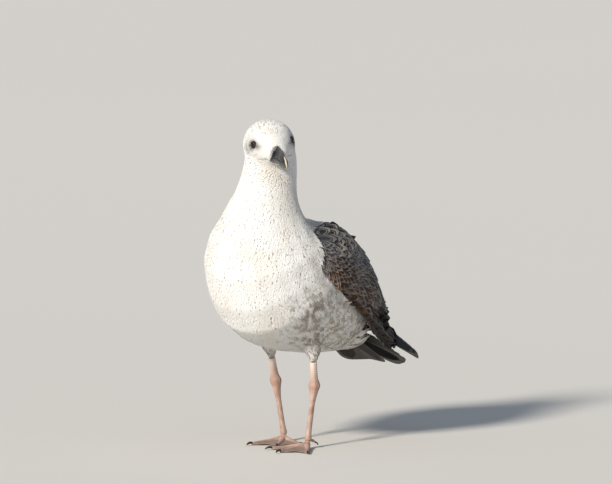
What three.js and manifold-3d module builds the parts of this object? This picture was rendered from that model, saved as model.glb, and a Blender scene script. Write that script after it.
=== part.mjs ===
// A life-size standing gull in its first winter, a still model in millimetres, +Z up.
// The bird faces -Y, its left side is +X, and it stands on Z = 0 with its head turned to its left.
// Flesh and plumage are modelled whole as lofts, then parted with thin cuts into named solids.

import * as THREE from "three";
import { mergeVertices } from "three/addons/utils/BufferGeometryUtils.js";
import Module from "manifold-3d";

const wasm = await Module();
wasm.setup();

// ---- driving dimensions -------------------------------------------------------------------------

const degrees = THREE.MathUtils.degToRad;
const gap = 0.3; // clearance between touching solids
const gull = {
  eyeHeight: 355, // above the ground
  toeJointHeight: 7,
  middleToe: 53, // without its claw
  clawLength: 6.5,
  billLength: 50,
  eyeRadius: 6,
  tailSpread: 9, // degrees between the outermost feather and the middle
};

const headPose = {
  at: new THREE.Vector3(11, -62, gull.eyeHeight), // midway between the eyes
  pitch: degrees(3), // bill tip down
  roll: degrees(-6), // left eye up
  yaw: degrees(47), // to the bird's left
};

// ---- finishes -----------------------------------------------------------------------------------

const finish = (color, roughness) => new THREE.MeshStandardMaterial({ color, roughness, metalness: 0 });
const whitePlumage = finish("#e6e1d8", 0.9);
const mottledPlumage = finish("#8a7a69", 0.9);
const darkPlumage = finish("#37302a", 0.8);
const pinkSkin = finish("#c79a86", 0.55);
const billHorn = finish("#33302f", 0.4);
const clawHorn = finish("#1c1817", 0.4);
const eyeGloss = finish("#1e120b", 0.1);

// ---- solids from meshes -------------------------------------------------------------------------

// A closed geometry, moved by an optional matrix, as a solid.
function solidOf(geometry, matrix = new THREE.Matrix4()) {
  const bare = new THREE.BufferGeometry();
  bare.setAttribute("position", geometry.getAttribute("position").clone());
  bare.setIndex(geometry.index ? geometry.index.clone() : null);
  bare.applyMatrix4(matrix);
  const merged = mergeVertices(bare, 1e-4);
  const corners = [];
  for (let i = 0; i < merged.index.count; i += 3) {
    const [a, b, c] = [0, 1, 2].map((k) => merged.index.getX(i + k));
    if (a !== b && b !== c && c !== a) corners.push(a, b, c);
  }
  return new wasm.Manifold(
    new wasm.Mesh({
      numProp: 3,
      vertProperties: merged.attributes.position.array,
      triVerts: new Uint32Array(corners),
    }),
  );
}

// The largest body of a solid, without the slivers that a cut can leave.
function mainBody(solid) {
  return solid.decompose().sort((a, b) => b.volume() - a.volume())[0];
}

function joined(solids) {
  return solids.reduce((whole, next) => whole.add(next));
}

function geometryOf(solid) {
  const { numProp, vertProperties, triVerts } = solid.getMesh();
  const places = new Float32Array((vertProperties.length / numProp) * 3);
  for (let i = 0; i < places.length / 3; i++) {
    places.set(vertProperties.subarray(i * numProp, i * numProp + 3), i * 3);
  }
  const geometry = new THREE.BufferGeometry();
  geometry.setAttribute("position", new THREE.BufferAttribute(places, 3));
  geometry.setIndex(new THREE.BufferAttribute(new Uint32Array(triVerts), 1));
  const flat = geometry.toNonIndexed();
  flat.computeVertexNormals();
  return flat;
}

// A closed geometry from rings of points, all with one count, and the two points that close its ends.
// Each ring turns counter-clockwise seen from the end towards which the rings advance.
function skinOver(rings, start, end) {
  const sides = rings[0].length;
  const points = [...rings.flat(), start, end];
  const corners = [];
  for (let j = 0; j < sides; j++) {
    const next = (j + 1) % sides;
    for (let k = 0; k + 1 < rings.length; k++) {
      const [low, high] = [k * sides, (k + 1) * sides];
      corners.push(low + j, low + next, high + next, low + j, high + next, high + j);
    }
    const last = (rings.length - 1) * sides;
    corners.push(points.length - 2, next, j, points.length - 1, last + j, last + next);
  }
  const geometry = new THREE.BufferGeometry().setFromPoints(points);
  geometry.setIndex(corners);
  return geometry;
}

function centreOf(ring) {
  return ring.reduce((sum, p) => sum.add(p), new THREE.Vector3()).divideScalar(ring.length);
}

// A body of oval sections along a path, with its width lying as near the X axis as the path lets it.
// Stations run towards the head or the tip. Each has its place, half its width and its reach up and down.
// roundStart and roundEnd are the shares of the length over which the ends close like an ellipsoid.
function loft(stations, { rings = 16, sides = 16, roundStart = 0.15, roundEnd = 0.15, grow = 0 } = {}) {
  const path = new THREE.CatmullRomCurve3(stations.map(({ at }) => new THREE.Vector3(...at)));
  const reach = new THREE.CatmullRomCurve3(
    stations.map(({ wide, top, bottom }) => new THREE.Vector3(wide, top, bottom ?? top)),
  );
  const closing = (t) => {
    const fromStart = roundStart ? Math.min(t / roundStart, 1) : 1;
    const fromEnd = roundEnd ? Math.min((1 - t) / roundEnd, 1) : 1;
    return Math.sqrt(1 - (1 - fromStart) ** 2) * Math.sqrt(1 - (1 - fromEnd) ** 2);
  };
  const made = [];
  for (let k = 1; k < rings; k++) {
    const even = k / rings;
    const clustered = (1 - Math.cos(Math.PI * even)) / 2; // closer together at the round ends
    const t = roundStart || roundEnd ? (even + clustered) / 2 : even;
    const centre = path.getPoint(t);
    const along = path.getTangent(t);
    const up = new THREE.Vector3().crossVectors(along, new THREE.Vector3(1, 0, 0)).normalize();
    const wideways = new THREE.Vector3().crossVectors(up, along);
    const size = reach.getPoint(t).multiplyScalar(closing(t));
    made.push(
      Array.from({ length: sides }, (_, j) => {
        const angle = (2 * Math.PI * j) / sides;
        const rise = Math.sin(angle) * ((Math.sin(angle) > 0 ? size.y : size.z) + grow);
        return centre
          .clone()
          .addScaledVector(up, rise)
          .addScaledVector(wideways, Math.cos(angle) * (size.x + grow));
      }),
    );
  }
  const start = path.getPoint(0).addScaledVector(path.getTangent(0), -grow);
  const end = path.getPoint(1).addScaledVector(path.getTangent(1), grow);
  return skinOver(made, start, end);
}

// Everything on one side of a plane, as a large box to cut with. The plane faces away from the box.
function halfSpace(point, facing) {
  const reach = 1000;
  const box = new THREE.BoxGeometry(reach, reach, reach).translate(0, 0, -reach / 2 - gap / 2);
  const upright = new THREE.Vector3(0, 0, 1);
  const turn = new THREE.Quaternion().setFromUnitVectors(upright, facing.clone().normalize());
  return solidOf(box, new THREE.Matrix4().compose(point, turn, new THREE.Vector3(1, 1, 1)));
}

function mirrored(solid) {
  return solid.mirror([1, 0, 0]);
}

// ---- the body: trunk and neck in one loft, from the rump up to inside the head --------------------

const bodyStations = [
  { at: [0, 118, 106], wide: 16, top: 14, bottom: 9 }, // under the tail's root
  { at: [0, 92, 126], wide: 40, top: 48, bottom: 30 }, // rump and vent
  { at: [0, 56, 150], wide: 62, top: 72, bottom: 56 },
  { at: [0, 14, 177], wide: 79, top: 80, bottom: 77 }, // lower back and belly
  { at: [0, -28, 204], wide: 82, top: 76, bottom: 91 },
  { at: [0, -54, 236], wide: 72, top: 60, bottom: 79 }, // shoulders and breast
  { at: [2, -60, 268], wide: 49, top: 43, bottom: 51 },
  { at: [3.5, -57, 297], wide: 35.5, top: 33, bottom: 36 }, // neck
  { at: [5, -53, 324], wide: 31, top: 31, bottom: 32 },
  { at: [8, -50, 371], wide: 26, top: 23, bottom: 25 }, // inside the head
];
const bodyShape = { rings: 24, sides: 22, roundStart: 0.06, roundEnd: 0.08 };

// ---- the head, in its own frame: origin between the eyes, bill towards -Y -------------------------

const headStations = [
  { at: [0, 42, -10], wide: 26, top: 22, bottom: 34 }, // back of the head
  { at: [0, 26, -6], wide: 29.5, top: 26, bottom: 37 },
  { at: [0, 8, -4], wide: 30, top: 27.5, bottom: 37 }, // crown and cheeks
  { at: [0, -8, -6], wide: 27, top: 26.5, bottom: 28 },
  { at: [0, -20, -8], wide: 20, top: 20.5, bottom: 20 }, // forehead and chin
  { at: [0, -30, -10], wide: 13, top: 13, bottom: 12 }, // feathering at the bill
  { at: [0, -38, -12], wide: 9, top: 8, bottom: 8 },
];
const headShape = { rings: 14, sides: 18, roundStart: 0.3, roundEnd: 0.08 };

const billRoot = -26; // where the bill leaves the feathers, along the head
const billTip = billRoot - gull.billLength;
const upperBillStations = [
  { at: [0, billRoot + 8, -8], wide: 12.5, top: 7, bottom: 3 },
  { at: [0, billRoot, -8.5], wide: 11, top: 9, bottom: 3 },
  { at: [0, billRoot - 14, -9.5], wide: 7.6, top: 8.6, bottom: 2.4 },
  { at: [0, billRoot - 30, -11], wide: 5.6, top: 7.8, bottom: 2.2 }, // the nail begins
  { at: [0, billTip + 9, -13], wide: 4.4, top: 6.6, bottom: 2.4 },
  { at: [0, billTip, -19.5], wide: 1.9, top: 2.6, bottom: 1.8 }, // the hook
];
const lowerBillStations = [
  { at: [0, billRoot + 8, -14.5], wide: 12, top: 6, bottom: 5 },
  { at: [0, billRoot, -15], wide: 10.5, top: 6, bottom: 5.4 },
  { at: [0, billRoot - 17, -15.8], wide: 6.4, top: 6, bottom: 4.4 },
  { at: [0, billRoot - 32, -16.4], wide: 4.6, top: 5, bottom: 5.6 }, // the gonydeal angle
  { at: [0, billTip + 8, -17], wide: 2.3, top: 2, bottom: 2 },
];

const billShape = { rings: 12, sides: 10, roundStart: 0, roundEnd: 0.08 };

const eyeAt = new THREE.Vector3(20, -10.5, 0.5); // the left eye's centre

// ---- a folded wing: a curved panel along the side of the back -------------------------------------

// Each station is a cross-section from the panel's lower edge to its upper edge, bowed outwards.
const wingStations = [
  { lower: [76, -58, 224], upper: [49, -41, 255], bow: 7, thick: 5 },
  { lower: [85, -42, 197], upper: [41, -14, 257], bow: 16, thick: 9 }, // bend of the wing
  { lower: [86, -6, 170], upper: [27, 36, 260], bow: 23, thick: 10 },
  { lower: [78, 40, 143], upper: [16, 84, 236], bow: 23, thick: 10 }, // coverts
  { lower: [64, 84, 121], upper: [11, 122, 187], bow: 18, thick: 8 },
  { lower: [47, 124, 105], upper: [12, 152, 148], bow: 11, thick: 6 }, // tertials
  { lower: [32, 156, 97], upper: [13, 174, 117], bow: 6, thick: 4 },
];

// Flight feathers that show past the tertials, from the innermost to the outermost.
const primaries = { count: 5, root: [34, 104, 134], width: 18, thick: 1.6, shortest: 82 };
const wingTips = {
  left: { inward: 7, slope: -17, roll: 52, longest: 130 },
  right: { inward: 26, slope: -21, roll: 34, longest: 132 },
};
const tail = { pairs: 4, root: [0, 92, 124], slope: -30, width: 25, thick: 1.5, length: 80 };

// ---- legs and feet ------------------------------------------------------------------------------

const legs = {
  left: {
    toeJoint: [33, -19, gull.toeJointHeight],
    ankle: [37, -11, 72],
    knee: [40, -20, 138],
    heading: -4, // degrees that the middle toe points to the bird's left
    outward: 1,
  },
  right: {
    toeJoint: [-25, 19, gull.toeJointHeight],
    ankle: [-34, 15, 70],
    knee: [-30, -10, 138],
    heading: 25,
    outward: -1,
  },
};
const toes = {
  outer: { turn: 38, share: 1, joints: 4 }, // turn is from the middle toe, share of its length
  middle: { turn: 0, share: 1, joints: 3 },
  inner: { turn: -35, share: 0.85, joints: 2 },
};

const legShape = { rings: 20, sides: 8, roundStart: 0, roundEnd: 0.05 };
const thighShape = { rings: 8, sides: 10, roundStart: 0.2, roundEnd: 0.1 };
const toeShape = { rings: 9, sides: 8, roundStart: 0.1, roundEnd: 0.08 };
const clawShape = { rings: 5, sides: 6, roundStart: 0, roundEnd: 0.2 };

// Stations from the knee down to the toe joint, thickest at the ankle.
function legStations({ knee, ankle, toeJoint }) {
  const [top, bend, foot] = [knee, ankle, toeJoint].map((p) => new THREE.Vector3(...p));
  const between = (a, b, share, wide, reach) => ({
    at: a.clone().lerp(b, share).toArray(),
    wide,
    top: reach,
    bottom: reach,
  });
  return [
    between(top, bend, 0, 5, 6),
    between(top, bend, 0.5, 3.9, 4.6),
    between(top, bend, 0.86, 4.4, 5),
    between(top, bend, 1, 6, 6.2), // ankle
    between(bend, foot, 0.16, 4.4, 5),
    between(bend, foot, 0.35, 2.9, 3.9),
    between(bend, foot, 0.8, 3, 3.9),
    between(bend, foot, 1, 5, 4.8), // toe joint
  ];
}

function thighStations({ knee, ankle }) {
  const [top, bend] = [knee, ankle].map((p) => new THREE.Vector3(...p));
  const along = (share) => top.clone().lerp(bend, share).toArray();
  return [
    { at: along(-0.1), wide: 20, top: 22 },
    { at: along(0.2), wide: 14, top: 16 },
    { at: along(0.42), wide: 7, top: 8.5 },
    { at: along(0.6), wide: 4.8, top: 5.6 }, // the feathers end above the ankle
  ];
}

// The line along the middle of a toe, from the toe joint down to the ground and out.
function toeLine(length) {
  return new THREE.CatmullRomCurve3([
    new THREE.Vector3(0, 3, gull.toeJointHeight - 0.5),
    new THREE.Vector3(0, -length * 0.12, gull.toeJointHeight - 2.2),
    new THREE.Vector3(0, -length * 0.36, 3.4),
    new THREE.Vector3(0, -length * 0.7, 2.5),
    new THREE.Vector3(0, -length, 2),
  ]);
}

// A toe swells at each joint and narrows between them.
function toeStations(length, joints) {
  const line = toeLine(length);
  const stations = [];
  for (let i = 0; i <= 2 * joints; i++) {
    const share = i / (2 * joints);
    const pad = i % 2 === 0;
    const wide = 3.4 - 1.2 * share + (pad ? 0.45 : 0);
    const at = line.getPoint(share);
    stations.push({ at: at.toArray(), wide, top: wide * 0.85, bottom: at.z + 0.5 });
  }
  return stations;
}

// ---- assembly tools -----------------------------------------------------------------------------

const bird = new THREE.Group();
const headGroup = new THREE.Group();
headGroup.position.copy(headPose.at);
headGroup.rotation.set(headPose.pitch, headPose.roll, headPose.yaw, "ZXY");
headGroup.updateMatrixWorld(true);
bird.add(headGroup);
const inHead = headGroup.matrixWorld.clone();

// A named mesh in a group, from a solid in the bird's frame.
function addPart(group, name, solid, material) {
  group.updateWorldMatrix(true, false);
  const geometry = geometryOf(mainBody(solid));
  geometry.applyMatrix4(group.matrixWorld.clone().invert());
  const mesh = new THREE.Mesh(geometry, material);
  mesh.name = name;
  group.add(mesh);
}

function wingPanel(grow) {
  const through = (place) => new THREE.CatmullRomCurve3(wingStations.map(place));
  const lower = through((station) => new THREE.Vector3(...station.lower));
  const upper = through((station) => new THREE.Vector3(...station.upper));
  const shape = through((station) => new THREE.Vector3(station.bow, station.thick, 0));
  const [lengths, across] = [15, 6];
  const rings = [];
  for (let k = 0; k <= lengths; k++) {
    const t = k / lengths;
    const low = lower.getPoint(t);
    const rise = upper.getPoint(t).sub(low);
    const width = rise.length();
    rise.normalize();
    const along = lower.getTangent(t).add(upper.getTangent(t)).normalize();
    const outward = new THREE.Vector3().crossVectors(along, rise).normalize();
    const { x: bow, y: thick } = shape.getPoint(t);
    const place = (share, depth) =>
      low
        .clone()
        .addScaledVector(along, grow * Math.sign(2 * t - 1) * (k % lengths === 0 ? 1 : 0))
        .addScaledVector(rise, (width + 2 * grow) * share - grow)
        .addScaledVector(outward, 4 * bow * share * (1 - share) + depth);
    const outer = Array.from({ length: across + 1 }, (_, j) => place(j / across, grow));
    const inner = Array.from({ length: across + 1 }, (_, j) => {
      const share = 1 - j / across;
      return place(share, -grow - thick * (0.35 + 0.65 * Math.sqrt(4 * share * (1 - share))));
    });
    rings.push([...outer, ...inner].reverse());
  }
  return skinOver(rings, centreOf(rings[0]), centreOf(rings[lengths]));
}

// A flight feather as a flat blade in the local XY plane, its root at the origin and its tip towards +Y.
function blade(length, width, thick) {
  const half = width / 2;
  const outline = new THREE.Shape()
    .moveTo(-half * 0.5, 0)
    .lineTo(half * 0.5, 0)
    .lineTo(half, length * 0.3)
    .lineTo(half, length - half * 1.6)
    .quadraticCurveTo(half * 0.9, length - half * 0.2, 0, length)
    .quadraticCurveTo(-half * 0.9, length - half * 0.2, -half, length - half * 1.6)
    .lineTo(-half, length * 0.3)
    .closePath();
  return new THREE.ExtrudeGeometry(outline, { depth: thick, bevelEnabled: false, curveSegments: 2 });
}

// A thin sheet between two lines, with its far edge cut back in a curve, as a closed slab.
function webBetween(first, second, thick) {
  const [lengths, across] = [5, 4];
  const rings = [];
  for (let k = 0; k <= lengths; k++) {
    const spot = (j, lift) => {
      const s = j / across;
      const t = (0.12 + (0.82 * k) / lengths) * (1 - 0.16 * 4 * s * (1 - s));
      return first(t).lerp(second(t), s).add(new THREE.Vector3(0, 0, lift));
    };
    const top = Array.from({ length: across + 1 }, (_, j) => spot(j, 0));
    const under = Array.from({ length: across + 1 }, (_, j) => spot(across - j, -thick));
    rings.push([...top, ...under]);
  }
  return skinOver(rings, centreOf(rings[0]), centreOf(rings[lengths]));
}

// A solid whichever way its rings turned.
function outwards(geometry) {
  const solid = solidOf(geometry);
  if (solid.volume() > 0) return solid;
  const index = Array.from(geometry.index.array);
  for (let i = 0; i < index.length; i += 3) [index[i + 1], index[i + 2]] = [index[i + 2], index[i + 1]];
  geometry.setIndex(index);
  return solidOf(geometry);
}

// ---- the parts ------------------------------------------------------------------------------------

// A loft as a solid, and the same loft grown by the gap, which cuts room for it in its neighbours.
function withGrown(stations, shape, place) {
  return [0, gap].map((grow) => solidOf(loft(stations, { ...shape, grow }), place));
}

const [bodyLoft, bodyGrown] = withGrown(bodyStations, bodyShape);
const headLoft = solidOf(loft(headStations, headShape), inHead);
const flesh = bodyLoft.add(headLoft);

const neckTop = { at: new THREE.Vector3(0, -52, 326), facing: new THREE.Vector3(0, -0.1, 1) };
const neckFoot = { at: new THREE.Vector3(0, -58, 282), facing: new THREE.Vector3(0, 0.15, 1) };
const ground = { at: new THREE.Vector3(0, 0, -gap / 2), facing: new THREE.Vector3(0, 0, 1) };
const below = ({ at, facing }) => halfSpace(at, facing);
const above = ({ at, facing }) => halfSpace(at, facing.clone().negate());

function addHead() {
  const [upper, upperGrown] = withGrown(upperBillStations, billShape, inHead);
  const [lower, lowerGrown] = withGrown(lowerBillStations, billShape, inHead);
  let head = flesh.intersect(above(neckTop)).subtract(upperGrown).subtract(lowerGrown);
  for (const [name, side] of [["left", 1], ["right", -1]]) {
    const place = new THREE.Matrix4().makeTranslation(eyeAt.x * side, eyeAt.y, eyeAt.z).premultiply(inHead);
    const [ball, socket] = [0, gap].map((grow) => {
      return solidOf(new THREE.SphereGeometry(gull.eyeRadius + grow, 12, 8), place);
    });
    head = head.subtract(socket);
    addPart(headGroup, "eye_" + name, ball, eyeGloss);
  }
  addPart(headGroup, "head", head, whitePlumage);
  addPart(headGroup, "bill_upper", upper, billHorn);
  addPart(headGroup, "bill_lower", lower.subtract(upperGrown), billHorn);
}

function tailFan() {
  const feathers = [];
  for (let i = 0; i < tail.pairs; i++) {
    for (const side of [1, -1]) {
      const share = (i + 0.5) / tail.pairs;
      const turn = new THREE.Matrix4()
        .makeTranslation(side * 10 * share, tail.root[1], tail.root[2] - i * 0.6)
        .multiply(new THREE.Matrix4().makeRotationX(degrees(tail.slope)))
        .multiply(new THREE.Matrix4().makeRotationY(degrees(side * 10 * share)))
        .multiply(new THREE.Matrix4().makeRotationZ(degrees(-side * gull.tailSpread * share)));
      feathers.push(solidOf(blade(tail.length - 5 * share ** 2, tail.width, tail.thick), turn));
    }
  }
  return joined(feathers);
}

function primaryFan({ inward, slope, roll, longest }) {
  const feathers = [];
  for (let i = 0; i < primaries.count; i++) {
    const share = i / (primaries.count - 1);
    const [x, y, z] = primaries.root;
    const turn = new THREE.Matrix4()
      .makeTranslation(x + 1.2 * i, y, z - 1.2 * i)
      .multiply(new THREE.Matrix4().makeRotationZ(degrees(inward)))
      .multiply(new THREE.Matrix4().makeRotationX(degrees(slope - 2 * share)))
      .multiply(new THREE.Matrix4().makeRotationY(degrees(roll)));
    const length = THREE.MathUtils.lerp(primaries.shortest, longest, share);
    feathers.push(solidOf(blade(length, primaries.width, primaries.thick), turn));
  }
  return joined(feathers);
}

function addPlumage() {
  const wing = solidOf(wingPanel(0));
  const wingGrown = solidOf(wingPanel(gap));
  const trunk = flesh.intersect(below(neckFoot)).subtract(wingGrown).subtract(mirrored(wingGrown));
  addPart(bird, "trunk", trunk, whitePlumage);
  addPart(bird, "neck", flesh.intersect(below(neckTop)).intersect(above(neckFoot)), whitePlumage);
  const fan = tailFan().subtract(bodyGrown).subtract(wingGrown).subtract(mirrored(wingGrown));
  addPart(bird, "tail", fan, darkPlumage);
  for (const [name, turned] of [["left", (s) => s], ["right", mirrored]]) {
    const tips = primaryFan(wingTips[name]).subtract(wingGrown).subtract(bodyGrown);
    addPart(bird, "wing_" + name, turned(wing), mottledPlumage);
    addPart(bird, "primaries_" + name, turned(tips), darkPlumage);
  }
}

function addLeg(name, leg) {
  const legGroup = new THREE.Group();
  bird.add(legGroup);
  const bare = solidOf(loft(legStations(leg), legShape));
  const [thigh, thighGrown] = withGrown(thighStations(leg), thighShape);
  addPart(legGroup, "thigh_" + name, thigh.subtract(bodyGrown), whitePlumage);

  const ankleFoot = new THREE.Vector3(...leg.ankle).lerp(new THREE.Vector3(...leg.toeJoint), 0.2);
  const ankleCut = { at: ankleFoot, facing: new THREE.Vector3(0, 0, 1) };
  const toeCut = { at: new THREE.Vector3(0, 0, gull.toeJointHeight + 4), facing: new THREE.Vector3(0, 0, 1) };
  const shank = bare.intersect(above(ankleCut)).subtract(thighGrown).subtract(bodyGrown);
  addPart(legGroup, "shank_" + name, shank, pinkSkin);
  addPart(legGroup, "tarsus_" + name, bare.intersect(below(ankleCut)).intersect(above(toeCut)), pinkSkin);
  addFoot(legGroup, name, leg, bare, below(toeCut));
}

function addFoot(group, name, leg, joint, lowPart) {
  const [x, y] = leg.toeJoint;
  const facing = (turn) =>
    new THREE.Matrix4().makeTranslation(x, y, 0).multiply(new THREE.Matrix4().makeRotationZ(degrees(turn)));
  const lines = {};
  const claws = {};
  let foot = joint;
  for (const [toe, { turn, share, joints }] of Object.entries(toes)) {
    const place = facing(leg.heading + leg.outward * turn);
    const length = gull.middleToe * share;
    foot = foot.add(solidOf(loft(toeStations(length, joints), toeShape), place));
    lines[toe] = (t) => toeLine(length).getPoint(t).applyMatrix4(place);
    const clawStations = [
      { at: [0, -length + 4, 3], wide: 1.3, top: 1.4 },
      { at: [0, -length - 2, 3.4], wide: 1.3, top: 1.4 },
      { at: [0, -length - gull.clawLength, 1], wide: 0.5, top: 0.5 },
    ];
    claws[toe] = withGrown(clawStations, clawShape, place);
  }
  foot = foot.add(outwards(webBetween(lines.outer, lines.middle, 1.3)));
  foot = foot.add(outwards(webBetween(lines.middle, lines.inner, 1.3)));

  const behind = facing(leg.heading + 180 - 20 * leg.outward);
  const hind = [
    { at: [0, 2, 11], wide: 2.6, top: 2.6 },
    { at: [0, -6, 9.5], wide: 2, top: 2 },
    { at: [0, -11, 6.5], wide: 1.5, top: 1.5 },
  ];
  const hindClaw = [
    { at: [0, -9, 7.6], wide: 1.1, top: 1.1 },
    { at: [0, -13, 5.6], wide: 0.9, top: 0.9 },
    { at: [0, -14.5, 3], wide: 0.4, top: 0.4 },
  ];
  foot = foot.add(solidOf(loft(hind, { rings: 5, sides: 6, roundEnd: 0.1 }), behind));
  claws.hind = withGrown(hindClaw, clawShape, behind);
  foot = foot.intersect(lowPart).intersect(above(ground));
  for (const [toe, [claw, clawGrown]] of Object.entries(claws)) {
    foot = foot.subtract(clawGrown);
    addPart(group, `claw_${name}_${toe}`, claw, clawHorn);
  }
  addPart(group, "foot_" + name, foot, pinkSkin);
}

addPlumage();
addHead();
for (const [name, leg] of Object.entries(legs)) addLeg(name, leg);

// The origin is on the ground, under the middle of the whole bird.
const extent = new THREE.Box3().setFromObject(bird);
const middle = extent.getCenter(new THREE.Vector3());
bird.position.set(-middle.x, -middle.y, -extent.min.z);

export default bird;
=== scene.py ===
import math

import bmesh
import bpy
import numpy as np
from mathutils import Matrix, Vector
from mathutils.bvhtree import BVHTree
from mathutils.kdtree import KDTree


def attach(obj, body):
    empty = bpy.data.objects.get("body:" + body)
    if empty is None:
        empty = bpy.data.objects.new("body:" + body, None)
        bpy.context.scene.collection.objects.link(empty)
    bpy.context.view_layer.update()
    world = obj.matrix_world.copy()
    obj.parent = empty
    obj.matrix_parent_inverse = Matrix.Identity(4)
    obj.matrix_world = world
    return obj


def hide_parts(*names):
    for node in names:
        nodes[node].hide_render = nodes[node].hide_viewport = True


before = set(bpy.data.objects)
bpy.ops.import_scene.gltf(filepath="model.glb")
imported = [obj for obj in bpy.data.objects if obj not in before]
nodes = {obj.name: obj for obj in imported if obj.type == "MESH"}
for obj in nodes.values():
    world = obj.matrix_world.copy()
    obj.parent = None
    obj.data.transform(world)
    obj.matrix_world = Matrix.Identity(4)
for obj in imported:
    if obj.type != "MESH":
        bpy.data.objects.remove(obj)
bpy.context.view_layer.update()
rng = np.random.default_rng(11)

# Places are in mm in the bird's own frame: +X is its left, it faces -Y, and Z = 0 is the ground.
mm = 0.001
birdShift = np.array([0.0, -50.94, 0.0])  # from the bird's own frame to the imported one
sides = (("left", 1), ("right", -1))


def toWorld(points):
    return (np.asarray(points, float) + birdShift) * mm


def fromWorld(points):
    return np.asarray(points, float) / mm - birdShift


camera = {
    "azimuth": 34.0, "elevation": 7.1, "distance": 9200.0, "lens": 470.6, "sensor": 36.0,
    "aim": (15.1, 233.4), "farthest": 100.0,
}


def addCamera():
    turn, rise = math.radians(camera["azimuth"]), math.radians(camera["elevation"])
    back = np.array([math.sin(turn) * math.cos(rise), -math.cos(turn) * math.cos(rise), math.sin(rise)])
    right = np.array([math.cos(turn), math.sin(turn), 0.0])
    target = right * camera["aim"][0] + np.cross(back, right) * camera["aim"][1]
    data = bpy.data.cameras.new("camera")
    data.lens = camera["lens"]
    data.sensor_width = camera["sensor"]
    data.clip_end = camera["farthest"]
    obj = bpy.data.objects.new("camera", data)
    bpy.context.scene.collection.objects.link(obj)
    place = Vector(toWorld(back * camera["distance"]))
    obj.location = place
    obj.rotation_euler = (Vector(toWorld(target)) - place).to_track_quat("-Z", "Y").to_euler()
    bpy.context.scene.camera = obj


addCamera()
print("camera placed")


def toLinear(hexCode):
    parts = [int(hexCode[i:i + 2], 16) / 255 for i in (1, 3, 5)]
    return tuple(c / 12.92 if c <= 0.04045 else ((c + 0.055) / 1.055) ** 2.4 for c in parts) + (1.0,)


# One node with its settings and links. Inputs go by name or number, and a hex string is a colour.
def addNode(tree, kind, settings=None, inputs=None, output=0):
    node = tree.nodes.new(kind)
    for name, value in (settings or {}).items():
        setattr(node, name, value)
    for key, value in (inputs or {}).items():
        if isinstance(value, bpy.types.NodeSocket):
            tree.links.new(value, node.inputs[key])
        else:
            node.inputs[key].default_value = toLinear(value) if isinstance(value, str) else value
    return node.outputs[output] if node.outputs else node


mixColor, smooth, slantwise = {"data_type": "RGBA"}, {"interpolation_type": "SMOOTHSTEP"}, {"noise_dimensions": "1D"}
multiply, add, power, root, minus, absolute, scaleAdd = (
    {"operation": name} for name in ("MULTIPLY", "ADD", "POWER", "SQRT", "SUBTRACT", "ABSOLUTE", "MULTIPLY_ADD"))


def newMaterial(name):
    material = bpy.data.materials.new(name)
    material.use_nodes = True
    material.node_tree.nodes.clear()
    return material, material.node_tree


def finishMaterial(material, tree, inputs):
    shader = addNode(tree, "ShaderNodeBsdfPrincipled", None, inputs)
    addNode(tree, "ShaderNodeOutputMaterial", None, {"Surface": shader})
    return material


def linkPiece(name, mesh, *materials):
    obj = bpy.data.objects.new(name, mesh)
    bpy.context.scene.collection.objects.link(obj)
    for material in materials:
        mesh.materials.append(material)
    return obj


# Each piece rides on the one still body, and takes the place of the solids it dresses.
def dress(obj, slot, *replaced):
    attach(obj, "root")
    if replaced:
        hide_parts(*replaced)


def meshFromFaces(name, verts, faces, isSmooth=True):
    mesh = bpy.data.meshes.new(name)
    mesh.from_pydata([tuple(v) for v in verts], [], [tuple(f) for f in faces])
    mesh.update()
    mesh.shade_smooth() if isSmooth else mesh.shade_flat()
    return mesh


# The same from arrays: faces of any size, given as flat corner indices and face sizes.
def meshFromArrays(name, verts, corners, sizes):
    mesh = bpy.data.meshes.new(name)
    mesh.vertices.add(len(verts))
    mesh.vertices.foreach_set("co", np.ascontiguousarray(verts, np.float32).ravel())
    mesh.loops.add(len(corners))
    mesh.loops.foreach_set("vertex_index", np.ascontiguousarray(corners, np.int32))
    mesh.polygons.add(len(sizes))
    starts = np.concatenate([[0], np.cumsum(sizes)[:-1]])
    mesh.polygons.foreach_set("loop_start", starts.astype(np.int32))
    mesh.polygons.foreach_set("loop_total", np.asarray(sizes, np.int32))
    mesh.update(calc_edges=True)
    mesh.shade_smooth()
    return mesh


def setAttribute(mesh, name, values):
    values = np.ascontiguousarray(values, np.float32)
    kind = "FLOAT_VECTOR" if values.ndim == 2 else "FLOAT"
    layer = mesh.attributes.new(name, kind, "POINT")
    layer.data.foreach_set("vector" if values.ndim == 2 else "value", values.ravel())


def catmull(points, shares):
    points = np.asarray(points, float)
    count = len(points) - 1
    x = np.asarray(shares, float) * count
    k = np.clip(x.astype(int), 0, count - 1)
    f = (x - k).reshape((-1,) + (1,) * (points.ndim - 1))
    padded = np.concatenate([[2 * points[0] - points[1]], points, [2 * points[-1] - points[-2]]])
    a, b, c, d = padded[k], padded[k + 1], padded[k + 2], padded[k + 3]
    return 0.5 * (2 * b + (c - a) * f + (2 * a - 5 * b + 4 * c - d) * f ** 2 + (3 * b - a - 3 * c + d) * f ** 3)


def unit(vectors):
    length = np.linalg.norm(vectors, axis=-1, keepdims=True)
    return vectors / np.maximum(length, 1e-9)


# What is left of each vector once its part along the normal is gone.
def flattened(vectors, normals):
    return vectors - normals * np.einsum("ij,ij->i", vectors, normals)[:, None]


def step(low, high, values):
    x = np.clip((values - low) / (high - low), 0, 1)
    return x * x * (3 - 2 * x)


# A soft round spot: 1 at its middle, and fading out past its size.
def spot(a, b, at, size):
    return np.exp(-(((a - at[0]) / size[0]) ** 2 + ((b - at[1]) / size[1]) ** 2))


# Both halves of the bird as one: how far from its middle, and the other two places as they are.
def mirrored(points):
    return np.abs(points[:, 0]), points[:, 1], points[:, 2]


def rotation(*parts):
    result = Matrix.Identity(4)
    for axis, angle in parts:
        result = result @ Matrix.Rotation(math.radians(angle), 4, axis)
    return result


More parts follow.
